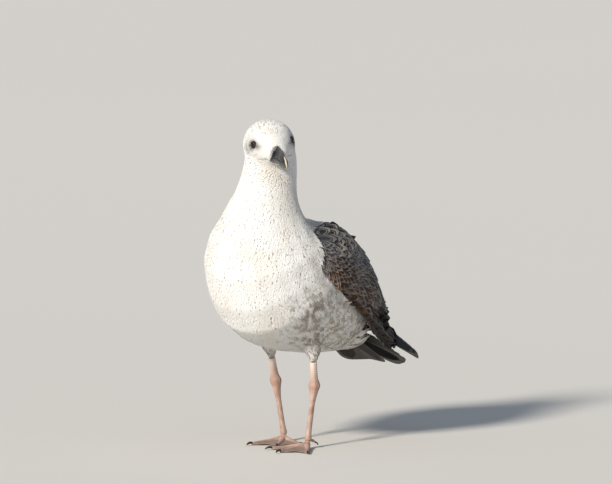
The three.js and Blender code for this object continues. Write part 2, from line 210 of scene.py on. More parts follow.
# The head's own frame starts between the eyes, with the bill towards -Y.
headPose = {"at": (11.0, -62.0, 355.0), "pitch": 3.0, "roll": -6.0, "yaw": 47.0}
headTurn = rotation(("Z", headPose["yaw"]), ("X", headPose["pitch"]), ("Y", headPose["roll"]))
headRotation = np.array(headTurn.to_3x3())
billRoot = np.array([0, -30, -11])


def headToBird(points):
    return np.asarray(points, float) @ headRotation.T + np.array(headPose["at"])


def birdToHead(points):
    return (np.asarray(points, float) - np.array(headPose["at"])) @ headRotation


def fromBill(local):
    return np.linalg.norm(local - billRoot, axis=1)


skinShape = {
    "voxel": 1.9, "smoothing": 12, "settling": 2, "normalSmoothing": 10, "legVoxel": 0.62, "legSmoothing": 4,
}
# soft pads under the feathers beside the bill, in the head's frame: place and size of the left one of each pair
billPads = [
    ((7.6, -25.5, -6.6), (4.4, 9.5, 6.6)),
    ((4.6, -26.5, -4.0), (3.6, 8.0, 5.2)),
    ((5.8, -24.5, -16.5), (4.6, 8.0, 5.0)),
]
fleshNodes = ["trunk", "neck", "head", "thigh_left", "thigh_right", "wing_left", "wing_right"]
eyeNodes = ["eye_left", "eye_right"]
legNodes = [part + "_" + name for part in ("shank", "tarsus", "foot") for name, _ in sides]


# One closed hide round the named solids and pads, as places in mm and quads.
def remeshed(names, voxel, pads=()):
    bm = bmesh.new()
    for name in names:
        bm.from_mesh(nodes[name].data)
    for (x, y, z), size in pads:
        for _, side in sides:
            ball = Matrix.Translation(Vector(birdShift * mm)) @ Matrix.Scale(mm, 4)
            ball = ball @ Matrix.Translation(Vector(headPose["at"])) @ headTurn
            ball = ball @ Matrix.Translation(Vector((x * side, y, z))) @ Matrix.Diagonal((*size, 1.0))
            bmesh.ops.create_uvsphere(bm, u_segments=24, v_segments=16, radius=1.0, matrix=ball)
    draft = bpy.data.meshes.new("draft")
    bmesh.ops.remove_doubles(bm, verts=bm.verts, dist=1e-6)
    bm.to_mesh(draft)
    bm.free()
    obj = linkPiece("draft", draft)
    modifier = obj.modifiers.new("remesh", "REMESH")
    modifier.mode = "VOXEL"
    modifier.voxel_size = voxel * mm
    graph = bpy.context.evaluated_depsgraph_get()
    result = bpy.data.meshes.new_from_object(obj.evaluated_get(graph))
    verts = np.empty(len(result.vertices) * 3, np.float32)
    result.vertices.foreach_get("co", verts)
    quads = np.empty(len(result.polygons) * 4, np.int32)
    result.polygons.foreach_get("vertices", quads)
    bpy.data.objects.remove(obj)
    return fromWorld(verts.reshape(-1, 3)), quads.reshape(-1, 4)


# Each point moves halfway to the middle of its neighbours, as many rounds as asked.
def relaxed(verts, quads, rounds):
    edges = np.concatenate([quads[:, [0, 1]], quads[:, [1, 2]], quads[:, [2, 3]], quads[:, [3, 0]]])
    first = np.concatenate([edges[:, 0], edges[:, 1]])
    second = np.concatenate([edges[:, 1], edges[:, 0]])
    count = np.bincount(first, minlength=len(verts)).astype(float)[:, None]
    for _ in range(rounds):
        total = np.stack([np.bincount(first, verts[second, i], len(verts)) for i in range(3)], 1)
        verts = verts + 0.5 * (total / np.maximum(count, 1) - verts)
    return verts


def vertexNormals(verts, quads):
    normals = np.cross(verts[quads[:, 2]] - verts[quads[:, 0]], verts[quads[:, 3]] - verts[quads[:, 1]])
    total = np.stack([
        sum(np.bincount(quads[:, k], normals[:, i], len(verts)) for k in range(4)) for i in range(3)
    ], 1)
    return unit(total)


# Each thigh's own line, left and right, between two heights, and the feathered cuff at its foot.
thighShape = {
    "lines": (((38.3, -14.5), (39.4, -18.0)), ((-32.4, 4.8), (-30.8, -4.0))), "low": 98, "high": 122,
    "cuff": 102, "cuffRadius": 2.7, "flare": 0.36, "cuffFade": (112, 124), "widest": 20, "reach": (16, 26),
}


def fromThigh(points):
    share = ((points[:, 2] - thighShape["low"]) / (thighShape["high"] - thighShape["low"]))[:, None]
    lines = [np.array(low) + (np.array(high) - np.array(low)) * share for low, high in thighShape["lines"]]
    offs = np.stack([points[:, :2] - line for line in lines])
    return offs, np.linalg.norm(offs, axis=2)


def onThigh(points):
    below = 1 - step(thighShape["cuff"], thighShape["high"], points[:, 2])
    return below * (1 - step(*thighShape["reach"], fromThigh(points)[1].min(0)))


# The feathered cuffs narrow smoothly down to the bare legs.
def withCuffs(points):
    offs, away = fromThigh(points)
    widest = thighShape["cuffRadius"] + thighShape["flare"] * np.maximum(points[:, 2] - thighShape["cuff"], 0)
    fade = 1 - step(*thighShape["cuffFade"], points[:, 2])
    for off, radius in zip(offs, away):
        pull = np.clip(1 - widest / np.maximum(radius, 0.1), 0, 1) * fade
        points[:, :2] -= off * np.where(radius < thighShape["widest"], pull, 0)[:, None]
    return points


# How deep the coat lies over the skin, in mm: thin on the face and crown, deep on the body.
coatDepths = {"body": 3.5, "lessOnHead": 1.9, "atBill": 0.5, "growth": 0.04, "lessOnCrown": 3.2, "thigh": 0.3}


def coatDepth(points):
    local, z = birdToHead(points), points[:, 2]
    depth = coatDepths["body"] - coatDepths["lessOnHead"] * step(285, 342, z)
    depth = np.minimum(depth, coatDepths["atBill"] + fromBill(local) * coatDepths["growth"])
    depth = depth - coatDepths["lessOnCrown"] * step(-6, 34, local[:, 2]) * step(330, 350, z)
    thigh = onThigh(points)
    return depth * (1 - thigh) + coatDepths["thigh"] * thigh


# The eyes, in the head's frame: ball, opening and lid, and the hollow that holds them.
eyeShape = {
    "at": (20.2, -10.5, 0.5), "out": (0.95, -0.30, 0.04), "fore": (0, -1.0, -0.08), "ball": 5.1,
    "halfWide": 3.7, "halfTall": 2.75, "squint": 0.80, "droop": 0.2, "lid": 1.1, "lidRoll": 0.42, "lidLift": 0.1,
    "socket": (3.0, 5.4), "socketTall": 1.2, "socketDepth": 2.6, "socketReach": 10, "pupil": (1.9, 2.1),
}


def eyeFrame(side):
    centre = np.array([eyeShape["at"][0] * side, *eyeShape["at"][1:]])
    out = unit(np.array([side * eyeShape["out"][0], *eyeShape["out"][1:]]))
    fore = unit(np.array(eyeShape["fore"]) - out * np.dot(out, eyeShape["fore"]))
    return centre, out, fore, unit(np.cross(fore, out) * -side)


# Hollows in the skin that the eyeballs sit in.
def withSockets(points):
    local = birdToHead(points)
    for _, side in sides:
        centre, out, fore, up = eyeFrame(side)
        off = local - centre
        away = np.hypot(off @ fore, (off @ up) * eyeShape["socketTall"])
        near = np.linalg.norm(off, axis=1) < eyeShape["socketReach"]
        sunk = (1 - step(*eyeShape["socket"], away)) * (off @ out > 0) * near
        local = local - out * (eyeShape["socketDepth"] * sunk)[:, None]
    return headToBird(local)


bodyVerts, bodyQuads = remeshed(fleshNodes + eyeNodes, skinShape["voxel"], billPads)
bodyVerts = relaxed(bodyVerts, bodyQuads, skinShape["smoothing"])
skinVerts = bodyVerts - vertexNormals(bodyVerts, bodyQuads) * coatDepth(bodyVerts)[:, None]
skinVerts = withSockets(withCuffs(relaxed(skinVerts, bodyQuads, skinShape["settling"])))
skinNormals = unit(relaxed(vertexNormals(skinVerts, bodyQuads), bodyQuads, skinShape["normalSmoothing"]))
bodyTree = BVHTree.FromPolygons([Vector(v) for v in skinVerts], bodyQuads.tolist())
faceNormals = unit(skinNormals[bodyQuads].sum(1))
print("skin draft:", len(skinVerts), "points")


def onSkin(points):
    places = np.empty((len(points), 3))
    normals = np.empty((len(points), 3))
    for i, point in enumerate(points):
        place, _, index, _ = bodyTree.find_nearest(Vector(point))
        places[i] = place
        normals[i] = faceNormals[index]
    return places, normals


# Where the feathers point, by place. The right side mirrors the left, and on the face they point away from the bill.
lieGuides = [
    ((4, -53, 322), (0, 0.0, -1)),
    ((0, -108, 268), (0, -0.3, -1)),
    ((36, -58, 285), (0.3, 0.05, -1)),
    ((3, -14, 280), (0, 0.7, -0.75)),
    ((0, -124, 205), (0, 0.05, -1)),
    ((60, -92, 215), (0.1, 0.3, -1)),
    ((76, -58, 190), (0, 0.6, -0.85)),
    ((0, -100, 148), (0, 0.75, -0.65)),
    ((50, -70, 150), (0, 0.8, -0.6)),
    ((0, -25, 102), (0, 1, -0.1)),
    ((75, 0, 145), (0, 0.85, -0.5)),
    ((62, 60, 120), (0, 0.9, -0.4)),
    ((0, 70, 98), (0, 1, -0.05)),
    ((0, 20, 256), (0, 0.9, -0.45)),
    ((0, 80, 210), (0, 0.75, -0.65)),
    ((0, 118, 158), (0, 0.8, -0.6)),
    ((78, -20, 215), (0, 0.65, -0.75)),
    ((60, 50, 215), (-0.15, 0.7, -0.7)),
    ((60, 90, 160), (-0.25, 0.75, -0.6)),
    ((35, 140, 115), (-0.25, 0.85, -0.4)),
]
guidePlaces, guideLies = (
    np.array([g[k] for g in lieGuides] + [(-g[k][0], *g[k][1:]) for g in lieGuides], float) for k in (0, 1))
guideLies = unit(guideLies)
lieBlend = {"middle": (0, -27, -12), "face": (44, 80), "soft": 60.0, "power": 1.6, "thigh": (0, 0.05, -1)}
billBase = headToBird([lieBlend["middle"]])[0]


def lieAt(points, normals):
    offsets = points[:, None, :] - guidePlaces[None]
    weight = 1.0 / (np.einsum("ijk,ijk->ij", offsets, offsets) + lieBlend["soft"]) ** lieBlend["power"]
    lie = unit(weight @ guideLies)
    away = points - billBase
    share = (1 - step(*lieBlend["face"], np.linalg.norm(away, axis=1)))[:, None]
    lie = unit(away) * share + lie * (1 - share)
    near = onThigh(points)[:, None]
    lie = lie * (1 - near) + np.array(lieBlend["thigh"]) * near
    return unit(flattened(lie, normals))


# A folded wing's panel, as lower edge, upper edge and bow outwards, from the shoulder to the tip.
wingPanel = [
    ((76, -58, 224), (49, -41, 255), 7),
    ((85, -42, 197), (41, -14, 257), 16),
    ((86, -6, 170), (27, 36, 260), 23),
    ((78, 40, 143), (16, 84, 236), 23),
    ((64, 84, 121), (11, 122, 187), 18),
    ((47, 124, 105), (12, 152, 148), 11),
    ((32, 156, 97), (13, 174, 117), 6),
]
panelLow, panelHigh, panelBow = ([station[k] for station in wingPanel] for k in range(3))
panelSteps = (61, 25)  # along and across, of the net that wingCoordinates looks through


def wingPlace(along, across):
    low, high = catmull(panelLow, along), catmull(panelHigh, along)
    bow = catmull([[b] for b in panelBow], along)[:, 0]
    ahead = catmull(panelLow, np.minimum(np.asarray(along) + 0.02, 1.05)) - low
    outward = unit(np.cross(unit(ahead), unit(high - low)))
    share = np.asarray(across, float)
    bulge = (4 * bow * np.clip(share * (1 - share), 0, 1))[:, None]
    return low + (high - low) * share[:, None] + outward * bulge


wingGrid = np.stack(np.meshgrid(*(np.linspace(0, 1, n) for n in panelSteps), indexing="ij"), -1).reshape(-1, 2)
wingTree = KDTree(len(wingGrid))
for i, place in enumerate(wingPlace(wingGrid[:, 0], wingGrid[:, 1])):
    wingTree.insert(place, i)
wingTree.balance()


# Each point's place on the wing panel: how far along and across, and how far off it.
def wingCoordinates(points):
    result = np.empty((len(points), 3))
    for i, (x, y, z) in enumerate(points):
        _, index, distance = wingTree.find((abs(x), y, z))
        result[i] = (*wingGrid[index], distance)
    return result


# 1 where the dark, barred feathers of the wings and back grow, 0 on the pale body.
def darkZone(points, wing):
    x, y, z = mirrored(points)
    reach = 9.0 * step(0.3, 0.5, wing[:, 0]) * step(0.02, 0.12, wing[:, 1])  # over the rump's side too
    onWing = 1 - step(5.5 + reach, 9.5 + reach, wing[:, 2])
    backEdge = 150 + (118 - y) * 0.74  # the height where the flank turns into the back
    behindNeck, aheadOfTail = step(-12, 4, y - 0.12 * (z - 240)), 1 - step(104, 116, y)
    return np.maximum(onWing, behindNeck * step(0, 10, z - backEdge + 0.25 * x) * aheadOfTail)


# 0 where the body is clean white, 1 where it is thickly flecked.
def mottling(points):
    x, y, z = mirrored(points)
    side = step(16, 80, x + 0.16 * (y + 60))
    low = 1 - step(110, 215, z + 0.25 * y)
    nape = step(-40, -10, y) * step(250, 275, z)
    rear = step(20, 90, y) * 0.5
    front = step(-124, -60, y)
    high = 1 - step(262, 318, z)
    flank = side * high * (0.3 + 0.7 * front) * (0.5 + 0.6 * low)
    return np.clip(flank + 0.5 * low * front + rear + 0.5 * nape, 0, 1)


# Dark smudges by the eye and gape, and how thickly fine streaks lie on the crown, cheek and nape.
def headMarks(points):
    x, y, z = mirrored(birdToHead(points))
    eye = (1 - step(2.8, 7.2, np.hypot((y + 10.5) / 1.15, z - 0.5))) * step(13, 17, x) * 0.88
    around = spot(y, z, (-7, -2), (9.5, 8.5)) * step(14, 19, x)
    gape = np.exp(-(z + 14.3 + 0.12 * (y + 26)) ** 2) * step(-30, -26, y) * (1 - step(-16, -11, y)) * 0.5
    lore = spot(y, z, (-18, -1), (4.5, 3.4)) * step(9, 14, x) * 0.6
    ear = spot(y, z, (2, -6), (6, 6)) * step(18, 24, x) * 0.3
    crown = step(8, 20, z) * (1 - step(26, 44, np.hypot(x, y - 4))) * 0.7
    cheek = spot(y, z, (-2, -6), (12, 9)) * step(17, 24, x) * 0.6
    nape = step(4, 22, y) * 0.6 * step(-40, -20, z)
    onHead = step(285, 345, points[:, 2])
    smudge = np.maximum(eye, 0.36 * around) + lore + ear + gape
    streak = crown + nape + cheek + 0.4 * around
    return np.clip(smudge, 0, 1) * onHead, np.clip(streak, 0, 1) * onHead


# Where the white coat turns slate grey: along the wing, partly grey feathers and partly painted shade; low on the
# belly, as painted shade; and on the nape and round the vent.
def greyAndShadeOnWhite(points, wing):
    _, y, z = mirrored(points)
    # partly grey feathers, partly painted shade: the white strip beside the wing greys as it does in shade
    greyAndShadeBesideWing = (1 - step(7, 20, wing[:, 2])) * 0.5
    # painted shade: the underside of the belly greys as if shaded
    low = (1 - step(104, 176, z)) * step(-100, -30, y) * 0.42
    vent = step(30, 90, y) * 0.5
    nape = step(-36, -6, y) * step(225, 270, z) * (1 - step(318, 345, z)) * 0.35
    return np.clip(np.maximum.reduce([greyAndShadeBesideWing, vent, low, nape]), 0, 1) * (1 - onThigh(points))


def zoneAttributes(points):
    wing = wingCoordinates(points)
    smudge, streak = headMarks(points)
    return {
        "mottle": mottling(points), "smudge": smudge, "streak": streak,
        "greyed": greyAndShadeOnWhite(points, wing), "dark": darkZone(points, wing),
    }


# sizes in mm
contourFeather = {
    # shade is the grey of the greyed marks: painted shade low on the belly, and partly painted shade beside the wing
    "white": "#fbfaf6", "cream": "#f3eee5", "fleck": "#a28d75", "deepFleck": "#6a5646", "shade": "#a6a29e",
    "smudge": "#402e24", "streak": "#8d8275", "fleckSize": 6.4, "streakSize": 2.4, "broad": 45,
}


# White body plumage: matt barbs, warm white, with soft brown flecks that each stay within a feather or two.
def markedWhite(tree, place, tipped):
    look = contourFeather
    greyed, mottle, streak, smudge = (
        addNode(tree, "ShaderNodeAttribute", {"attribute_name": label}, None, "Fac")
        for label in ("greyed", "mottle", "streak", "smudge"))
    broad = addNode(tree, "ShaderNodeTexNoise", None,
                    {"Vector": place, "Scale": 1 / (look["broad"] * mm), "Detail": 2.0})
    warmth = addNode(tree, "ShaderNodeMapRange", smooth, {0: broad, 1: 0.42, 2: 0.66})
    color = addNode(tree, "ShaderNodeMix", mixColor, {0: warmth, 6: look["white"], 7: look["cream"]}, 2)
    # partly painted shade: where greyed is high, the white turns to the shade grey
    color = addNode(tree, "ShaderNodeMix", mixColor, {0: greyed, 6: color, 7: look["shade"]}, 2)
    # flecks grow larger and stronger as the mottling thickens
    spots = addNode(tree, "ShaderNodeTexNoise", None,
                    {"Vector": place, "Scale": 1 / (look["fleckSize"] * mm), "Detail": 2.0, "Roughness": 0.55})
    edge = addNode(tree, "ShaderNodeMath", scaleAdd, {0: mottle, 1: -0.28, 2: 0.66})
    far = addNode(tree, "ShaderNodeMath", add, {0: edge, 1: 0.26})
    flecks = addNode(tree, "ShaderNodeMapRange", smooth, {0: spots, 1: edge, 2: far})
    strong = addNode(tree, "ShaderNodeMath", {**scaleAdd, "use_clamp": True}, {0: mottle, 1: 0.6, 2: 0.2})
    deep = addNode(tree, "ShaderNodeMapRange", smooth, {0: broad, 1: 0.35, 2: 0.65})
    tone = addNode(tree, "ShaderNodeMix", mixColor, {0: deep, 6: look["fleck"], 7: look["deepFleck"]}, 2)
    fine = addNode(tree, "ShaderNodeTexNoise", None,
                   {"Vector": place, "Scale": 1 / (look["streakSize"] * mm), "Detail": 1.0})
    fine = addNode(tree, "ShaderNodeMapRange", smooth, {0: fine, 1: 0.50, 2: 0.68})
    for marks, strength, paint in ((flecks, strong, tone), (fine, streak, look["streak"])):
        marks = addNode(tree, "ShaderNodeMath", multiply, {0: marks, 1: strength})
        marks = addNode(tree, "ShaderNodeMath", multiply, {0: marks, 1: tipped})
        color = addNode(tree, "ShaderNodeMix", mixColor, {0: marks, 6: color, 7: paint}, 2)
    return addNode(tree, "ShaderNodeMix", mixColor, {0: smudge, 6: color, 7: look["smudge"]}, 2)


# The hide under the coat: the same marks as the coat on it, and dusky down under the barred vanes.
def skinMaterial():
    material, tree = newMaterial("feathered_hide")
    place = addNode(tree, "ShaderNodeAttribute", {"attribute_name": "rootPlace"}, None, "Vector")
    down = addNode(tree, "ShaderNodeTexNoise", None, {"Vector": place, "Scale": 1 / (9 * mm), "Detail": 2.0})
    dusk = addNode(tree, "ShaderNodeMix", mixColor, {0: down, 6: "#211d1d", 7: "#3a3029"}, 2)
    dark = addNode(tree, "ShaderNodeAttribute", {"attribute_name": "dark"}, None, "Fac")
    color = addNode(tree, "ShaderNodeMix", mixColor, {0: dark, 6: markedWhite(tree, place, 1.0), 7: dusk}, 2)
    return finishMaterial(material, tree, {"Base Color": color, "Roughness": 0.8, "Specular IOR Level": 0.2})


# Soft contour feathers: light soaks a little way in, fine barbs break the shine, and marks sit on the open end.
def coatMaterial():
    material, tree = newMaterial("body_feather_keratin")
    place = addNode(tree, "ShaderNodeAttribute", {"attribute_name": "rootPlace"}, None, "Vector")
    along, across = (addNode(tree, "ShaderNodeAttribute", {"attribute_name": label}, None, "Fac")
                     for label in ("along", "across"))
    tipped = addNode(tree, "ShaderNodeMapRange", smooth, {0: along, 1: 0.25, 2: 0.65})
    # barbs slant from the shaft to the edge
    out = addNode(tree, "ShaderNodeMath", absolute, {0: across})
    slant = addNode(tree, "ShaderNodeMath", scaleAdd, {0: along, 1: -2.5, 2: out})
    barbs = addNode(tree, "ShaderNodeTexNoise", slantwise, {"W": slant, "Scale": 11.0, "Detail": 1.0})
    bump = addNode(tree, "ShaderNodeBump", None, {"Strength": 0.12, "Distance": 0.2 * mm, "Height": barbs})
    return finishMaterial(material, tree, {
        "Base Color": markedWhite(tree, place, tipped), "Normal": bump, "Roughness": 0.75,
        "Specular IOR Level": 0.12, "Sheen Weight": 0.05, "Sheen Roughness": 0.6,
        "Subsurface Weight": 0.3, "Subsurface Radius": (0.002, 0.0018, 0.0016), "Subsurface Scale": 1.0,
    })


# The grid of one vane: across from -1 to 1 and along from 0 to 1, closed underneath from edge to edge.
def vaneGrid(columns, rows):
    width = columns + 1
    across = np.tile(np.linspace(-1, 1, width), len(rows))
    along = np.repeat(np.asarray(rows, float), width)
    corners, sizes, isTop = [], [], []
    for r in range(len(rows) - 1):
        for a in range(r * width, r * width + columns):
            corners += [a, a + 1, a + width + 1, a + width]
        left, right = r * width, r * width + columns
        corners += [left, left + width, right + width, right]
        sizes += [4] * width
        isTop += [True] * columns + [False]
    corners += list(range(columns, -1, -1))
    corners += [(len(rows) - 1) * width + c for c in range(width)]
    return across, along, np.array(corners), np.array(sizes + [width] * 2), np.array(isTop + [False] * 2)


smallVane = vaneGrid(2, [0, 0.45, 0.8, 1])
bodyVane = vaneGrid(4, [0, 0.35, 0.6, 0.8, 0.92, 1])
largeVane = vaneGrid(6, [0, 0.12, 0.3, 0.5, 0.68, 0.82, 0.92, 1])
longVane = vaneGrid(6, list(np.linspace(0, 0.9, 13)) + [0.95, 0.98, 1])


def vaneTriangles(grid):
    return int((grid[3] - 2).sum())


# One mesh of many like vanes. The tops are smooth, and the edges and undersides stay crisp.
def meshOfVanes(name, grid, verts, count):
    across, along, corners, faceSizes, isTop = grid
    allCorners = (corners[None] + len(across) * np.arange(count)[:, None]).ravel()
    mesh = meshFromArrays(name, toWorld(verts.reshape(-1, 3)), allCorners, np.tile(faceSizes, count))
    mesh.polygons.foreach_set("use_smooth", np.tile(isTop, count))
    setAttribute(mesh, "along", np.tile(along, count))
    setAttribute(mesh, "across", np.tile(across, count))
    return mesh


spineSteps = 3


# Steps each spine over the skin along the lie of the coat, and returns places, normals and directions.
# With a low cling the far end of a long feather runs straight on where the skin falls away.
def spines(roots, normals, lies, lengths, cling):
    places, ups, lines = [roots], [normals], [lies]
    for _ in range(spineSteps):
        ahead = places[-1] + lines[-1] * (lengths / spineSteps)[:, None]
        place, up = onSkin(ahead)
        free = (1 - cling) * (np.einsum("ij,ij->i", ahead - place, up) > 0)[:, None]
        up = unit(up * (1 - free) + ups[-1] * free)
        places.append(place + (ahead - place) * free)
        ups.append(up)
        lines.append(unit(flattened(lines[-1], up)))
    return np.stack(places, 1), np.stack(ups, 1), np.stack(lines, 1)


def alongSpine(values, shares):
    x = np.clip(shares * spineSteps, 0, spineSteps - 1e-6)
    k = x.astype(int)
    f = (x - k)[None, :, None]
    return values[:, k] * (1 - f) + values[:, k + 1] * f


def roundOutline(along):
    return np.sin(np.pi * (0.13 + 0.79 * along)) ** 0.75


def softOutline(along):
    return np.sin(np.pi * np.clip(0.10 + 0.84 * along, 0, 1) ** 0.85) ** 0.8


# How far each point of a loose tip lags behind: barbs part into soft fingers.
def looseTip(across, along):
    fingers = 0.5 - 0.5 * np.cos(np.pi * across * 2)
    return (along > 0.9) * (0.05 * fingers + 0.06 * across ** 2)


# Vanes over the skin. placed holds their roots, normals, lies and sizes, and sizes the length, width and lift in mm.
def vaneMesh(name, grid, placed, outline=roundOutline, ragged=0.0, camber=0.1, sunk=0.4,
             tipCurve=0.16, loose=False, riseCurve=1.1, tuck=0.0, cling=1.0):
    roots, normals, lies, sizes = placed
    across, along = grid[:2]
    length, width, lift = (column[:, None] for column in sizes.T)
    tip = 1 - tipCurve * np.abs(across) ** 2.2
    shares = np.clip(along * np.where(along > 0.6, tip, 1), 0, 1)
    spine, up, line = (alongSpine(v, shares) for v in spines(roots, normals, lies, length[:, 0], cling))
    up = unit(up)
    side = unit(np.cross(line, up))
    half = outline(along)
    fray = rng.normal(0, 1, (len(roots), len(across))) * ragged * (along > 0.9)
    if loose:
        fray = fray - looseTip(across, along)[None]
    offset = (across * half)[None] * width / 2
    rise = lift * (along ** riseCurve)[None] - sunk * (1 - along)[None]
    rise = rise - tuck * width * step(0.72, 1.0, along)[None]
    rise = rise + camber * width * (0.25 - 0.5 * (across ** 2)[None] * half[None])
    verts = spine + side * offset[..., None] + up * rise[..., None]
    return meshOfVanes(name, grid, verts + line * (fray * length)[..., None], len(roots))


# The body's long axis from the tail to the crown. An unwrap of the body runs round it and along it.
axisLine = np.array([
    (0, 140, 96), (0, 92, 130), (0, 30, 172), (0, -30, 200), (0, -56, 240), (3, -56, 300), (8, -52, 350), (8, -52, 372),
], float)


def unwrap(points):
    nearest = np.full(len(points), 1e9)
    result = np.zeros((len(points), 2))
    lengths = np.linalg.norm(np.diff(axisLine, axis=0), axis=1)
    starts = np.concatenate([[0], np.cumsum(lengths)])
    last = len(lengths) - 1
    for i in range(len(lengths)):
        line = (axisLine[i + 1] - axisLine[i]) / lengths[i]
        offset = points - axisLine[i]
        along = offset @ line
        held = np.clip(along, -1e9 if i == 0 else 0, 1e9 if i == last else lengths[i])
        away = offset - held[:, None] * line
        distance = np.linalg.norm(away, axis=1) + np.abs(along - held)
        angle = np.arctan2(away[:, 0], -(away @ np.cross(line, [1, 0, 0])))
        nearer = distance < nearest
        nearest[nearer] = distance[nearer]
        result[nearer, 0] = angle[nearer] / (2 * np.pi) + 0.5
        result[nearer, 1] = starts[i] + held[nearer]
    return result


patchSize = {"coat": 0.003, "quill": 0.012}


# The OFBake map: each vane is a small patch at its root's place on the unwrap.
def patchOnWrap(mesh, grid, roots, size):
    across, along = grid[:2]
    flat = unwrap(roots)
    flat = (flat - flat.min(0)) / np.maximum(np.ptp(flat, axis=0), 1e-6) * 0.98 + 0.01
    patch = np.stack([across, along * 2 - 1], 1) * size / 2
    uv = (flat[:, None] + patch[None]).reshape(-1, 2)
    corners = np.empty(len(mesh.loops), np.int32)
    mesh.loops.foreach_get("vertex_index", corners)
    layer = mesh.uv_layers.new(name="OFBake")
    layer.data.foreach_set("uv", np.ascontiguousarray(uv[corners], np.float32).ravel())


# One piece of feathers over the skin. Each has one place for its pattern, and its own value of each mark.
def featherPiece(name, grid, placed, patternPlaces, marks, material, slot, **shape):
    mesh = vaneMesh(name, grid, placed, **shape)
    count, per = len(patternPlaces), len(grid[0])
    setAttribute(mesh, "rootPlace", np.repeat(toWorld(patternPlaces), per, 0))
    for label, values in marks.items():
        setAttribute(mesh, label, np.repeat(values, per))
    patchOnWrap(mesh, grid, placed[0], patchSize["coat"])
    dress(linkPiece(name, mesh, material), slot)
    print(name, count, "feathers,", count * vaneTriangles(grid), "triangles")


# A piece of the white coat. Each vane takes its marks from where its open end lies.
def coatPiece(name, grid, placed, material, shownAt, **shape):
    roots, _, lies, sizes = placed
    shown, _ = onSkin(roots + lies * sizes[:, :1] * shownAt)
    marks = zoneAttributes(shown)
    del marks["dark"]  # only the hide wears it
    featherPiece(name, grid, placed, shown, marks, material, "white_plumage", outline=softOutline, **shape)


# Even scatter over the skin: random spots, each kept only if no kept one is nearer than its spacing.
def scatter(spacingOf, wanted):
    a, b, c, d = (skinVerts[bodyQuads[:, k]] for k in range(4))
    area = np.linalg.norm(np.cross(c - a, d - b), axis=1) / 2
    spacing = spacingOf((a + b + c + d) / 4)
    weight = np.where(spacing > 0, area / np.maximum(spacing, 0.5) ** 2, 0)
    chosen = rng.choice(len(area), wanted, p=weight / weight.sum())
    s, t = rng.random((2, wanted, 1))
    places, normals = (
        (p[chosen] * (1 - s) + q[chosen] * s) * (1 - t) + (v[chosen] * (1 - s) + u[chosen] * s) * t
        for p, q, u, v in ((a, b, c, d), [skinNormals[bodyQuads[:, k]] for k in range(4)]))
    reach = spacing[chosen]
    tree = KDTree(wanted)
    for i, place in enumerate(places):
        tree.insert(place, i)
    tree.balance()
    free = np.ones(wanted, bool)
    kept = []
    for i in range(wanted):
        if free[i]:
            kept.append(i)
            for _, j, _ in tree.find_range(places[i], reach[i]):
                free[j] = False
    return places[kept], unit(normals)[kept], reach[kept]


# Spacings in mm. Lengths and widths are in spacings, and the small vanes, set closer than smallReach, cover the head.
# A vane is no longer than it may be at the bill or the eye, plus its growth for each mm away from there.
bodyCoat = {
    "spacing": 1.95, "headSpacing": 1.4, "faceSpacing": 0.85, "thighSpacing": 1.7, "faceGrowth": 0.02,
    "long": 8.0, "wide": 3.7, "smallWide": 2.5, "smallReach": 1.5, "tries": 200000, "pieceTriangles": 180000,
    "longSpread": (0.94, 1.06), "wideSpread": (0.85, 1.15), "deepSpread": (0.985, 1.0), "lieSpread": 0.045,
    "eyeRim": 0.9, "eyeReach": 12, "eyeParting": (4.5, 11), "partingTurn": 1.6, "shownAt": 0.75, "shownLess": 0.7,
    "billLength": 2.0, "billGrowth": 0.28, "eyeLength": 2.0, "eyeGrowth": 0.6, "eyeFrom": 5.0,
    "thinnest": 0.9, "thinnerOnThigh": 0.6, "shorterOnThigh": 0.55, "whiteLimit": 0.4, "shoulderEnd": 10,
    "shape": {"camber": 0.05, "ragged": 0.012, "loose": True, "riseCurve": 0.4, "tuck": 0.035},
}


def coatSpacing(points):
    spacing = bodyCoat["spacing"] + (bodyCoat["headSpacing"] - bodyCoat["spacing"]) * step(262, 340, points[:, 2])
    spacing = np.minimum(spacing, bodyCoat["faceSpacing"] + fromBill(birdToHead(points)) * bodyCoat["faceGrowth"])
    thigh = onThigh(points)
    spacing = spacing * (1 - thigh) + bodyCoat["thighSpacing"] * thigh
    wing = wingCoordinates(points)
    underWingTip = (wing[:, 2] < 14) & (wing[:, 0] > 0.55) & (wing[:, 1] > 0.1)
    return np.where((darkZone(points, wing) > 0.6) | underWingTip, 0, spacing)


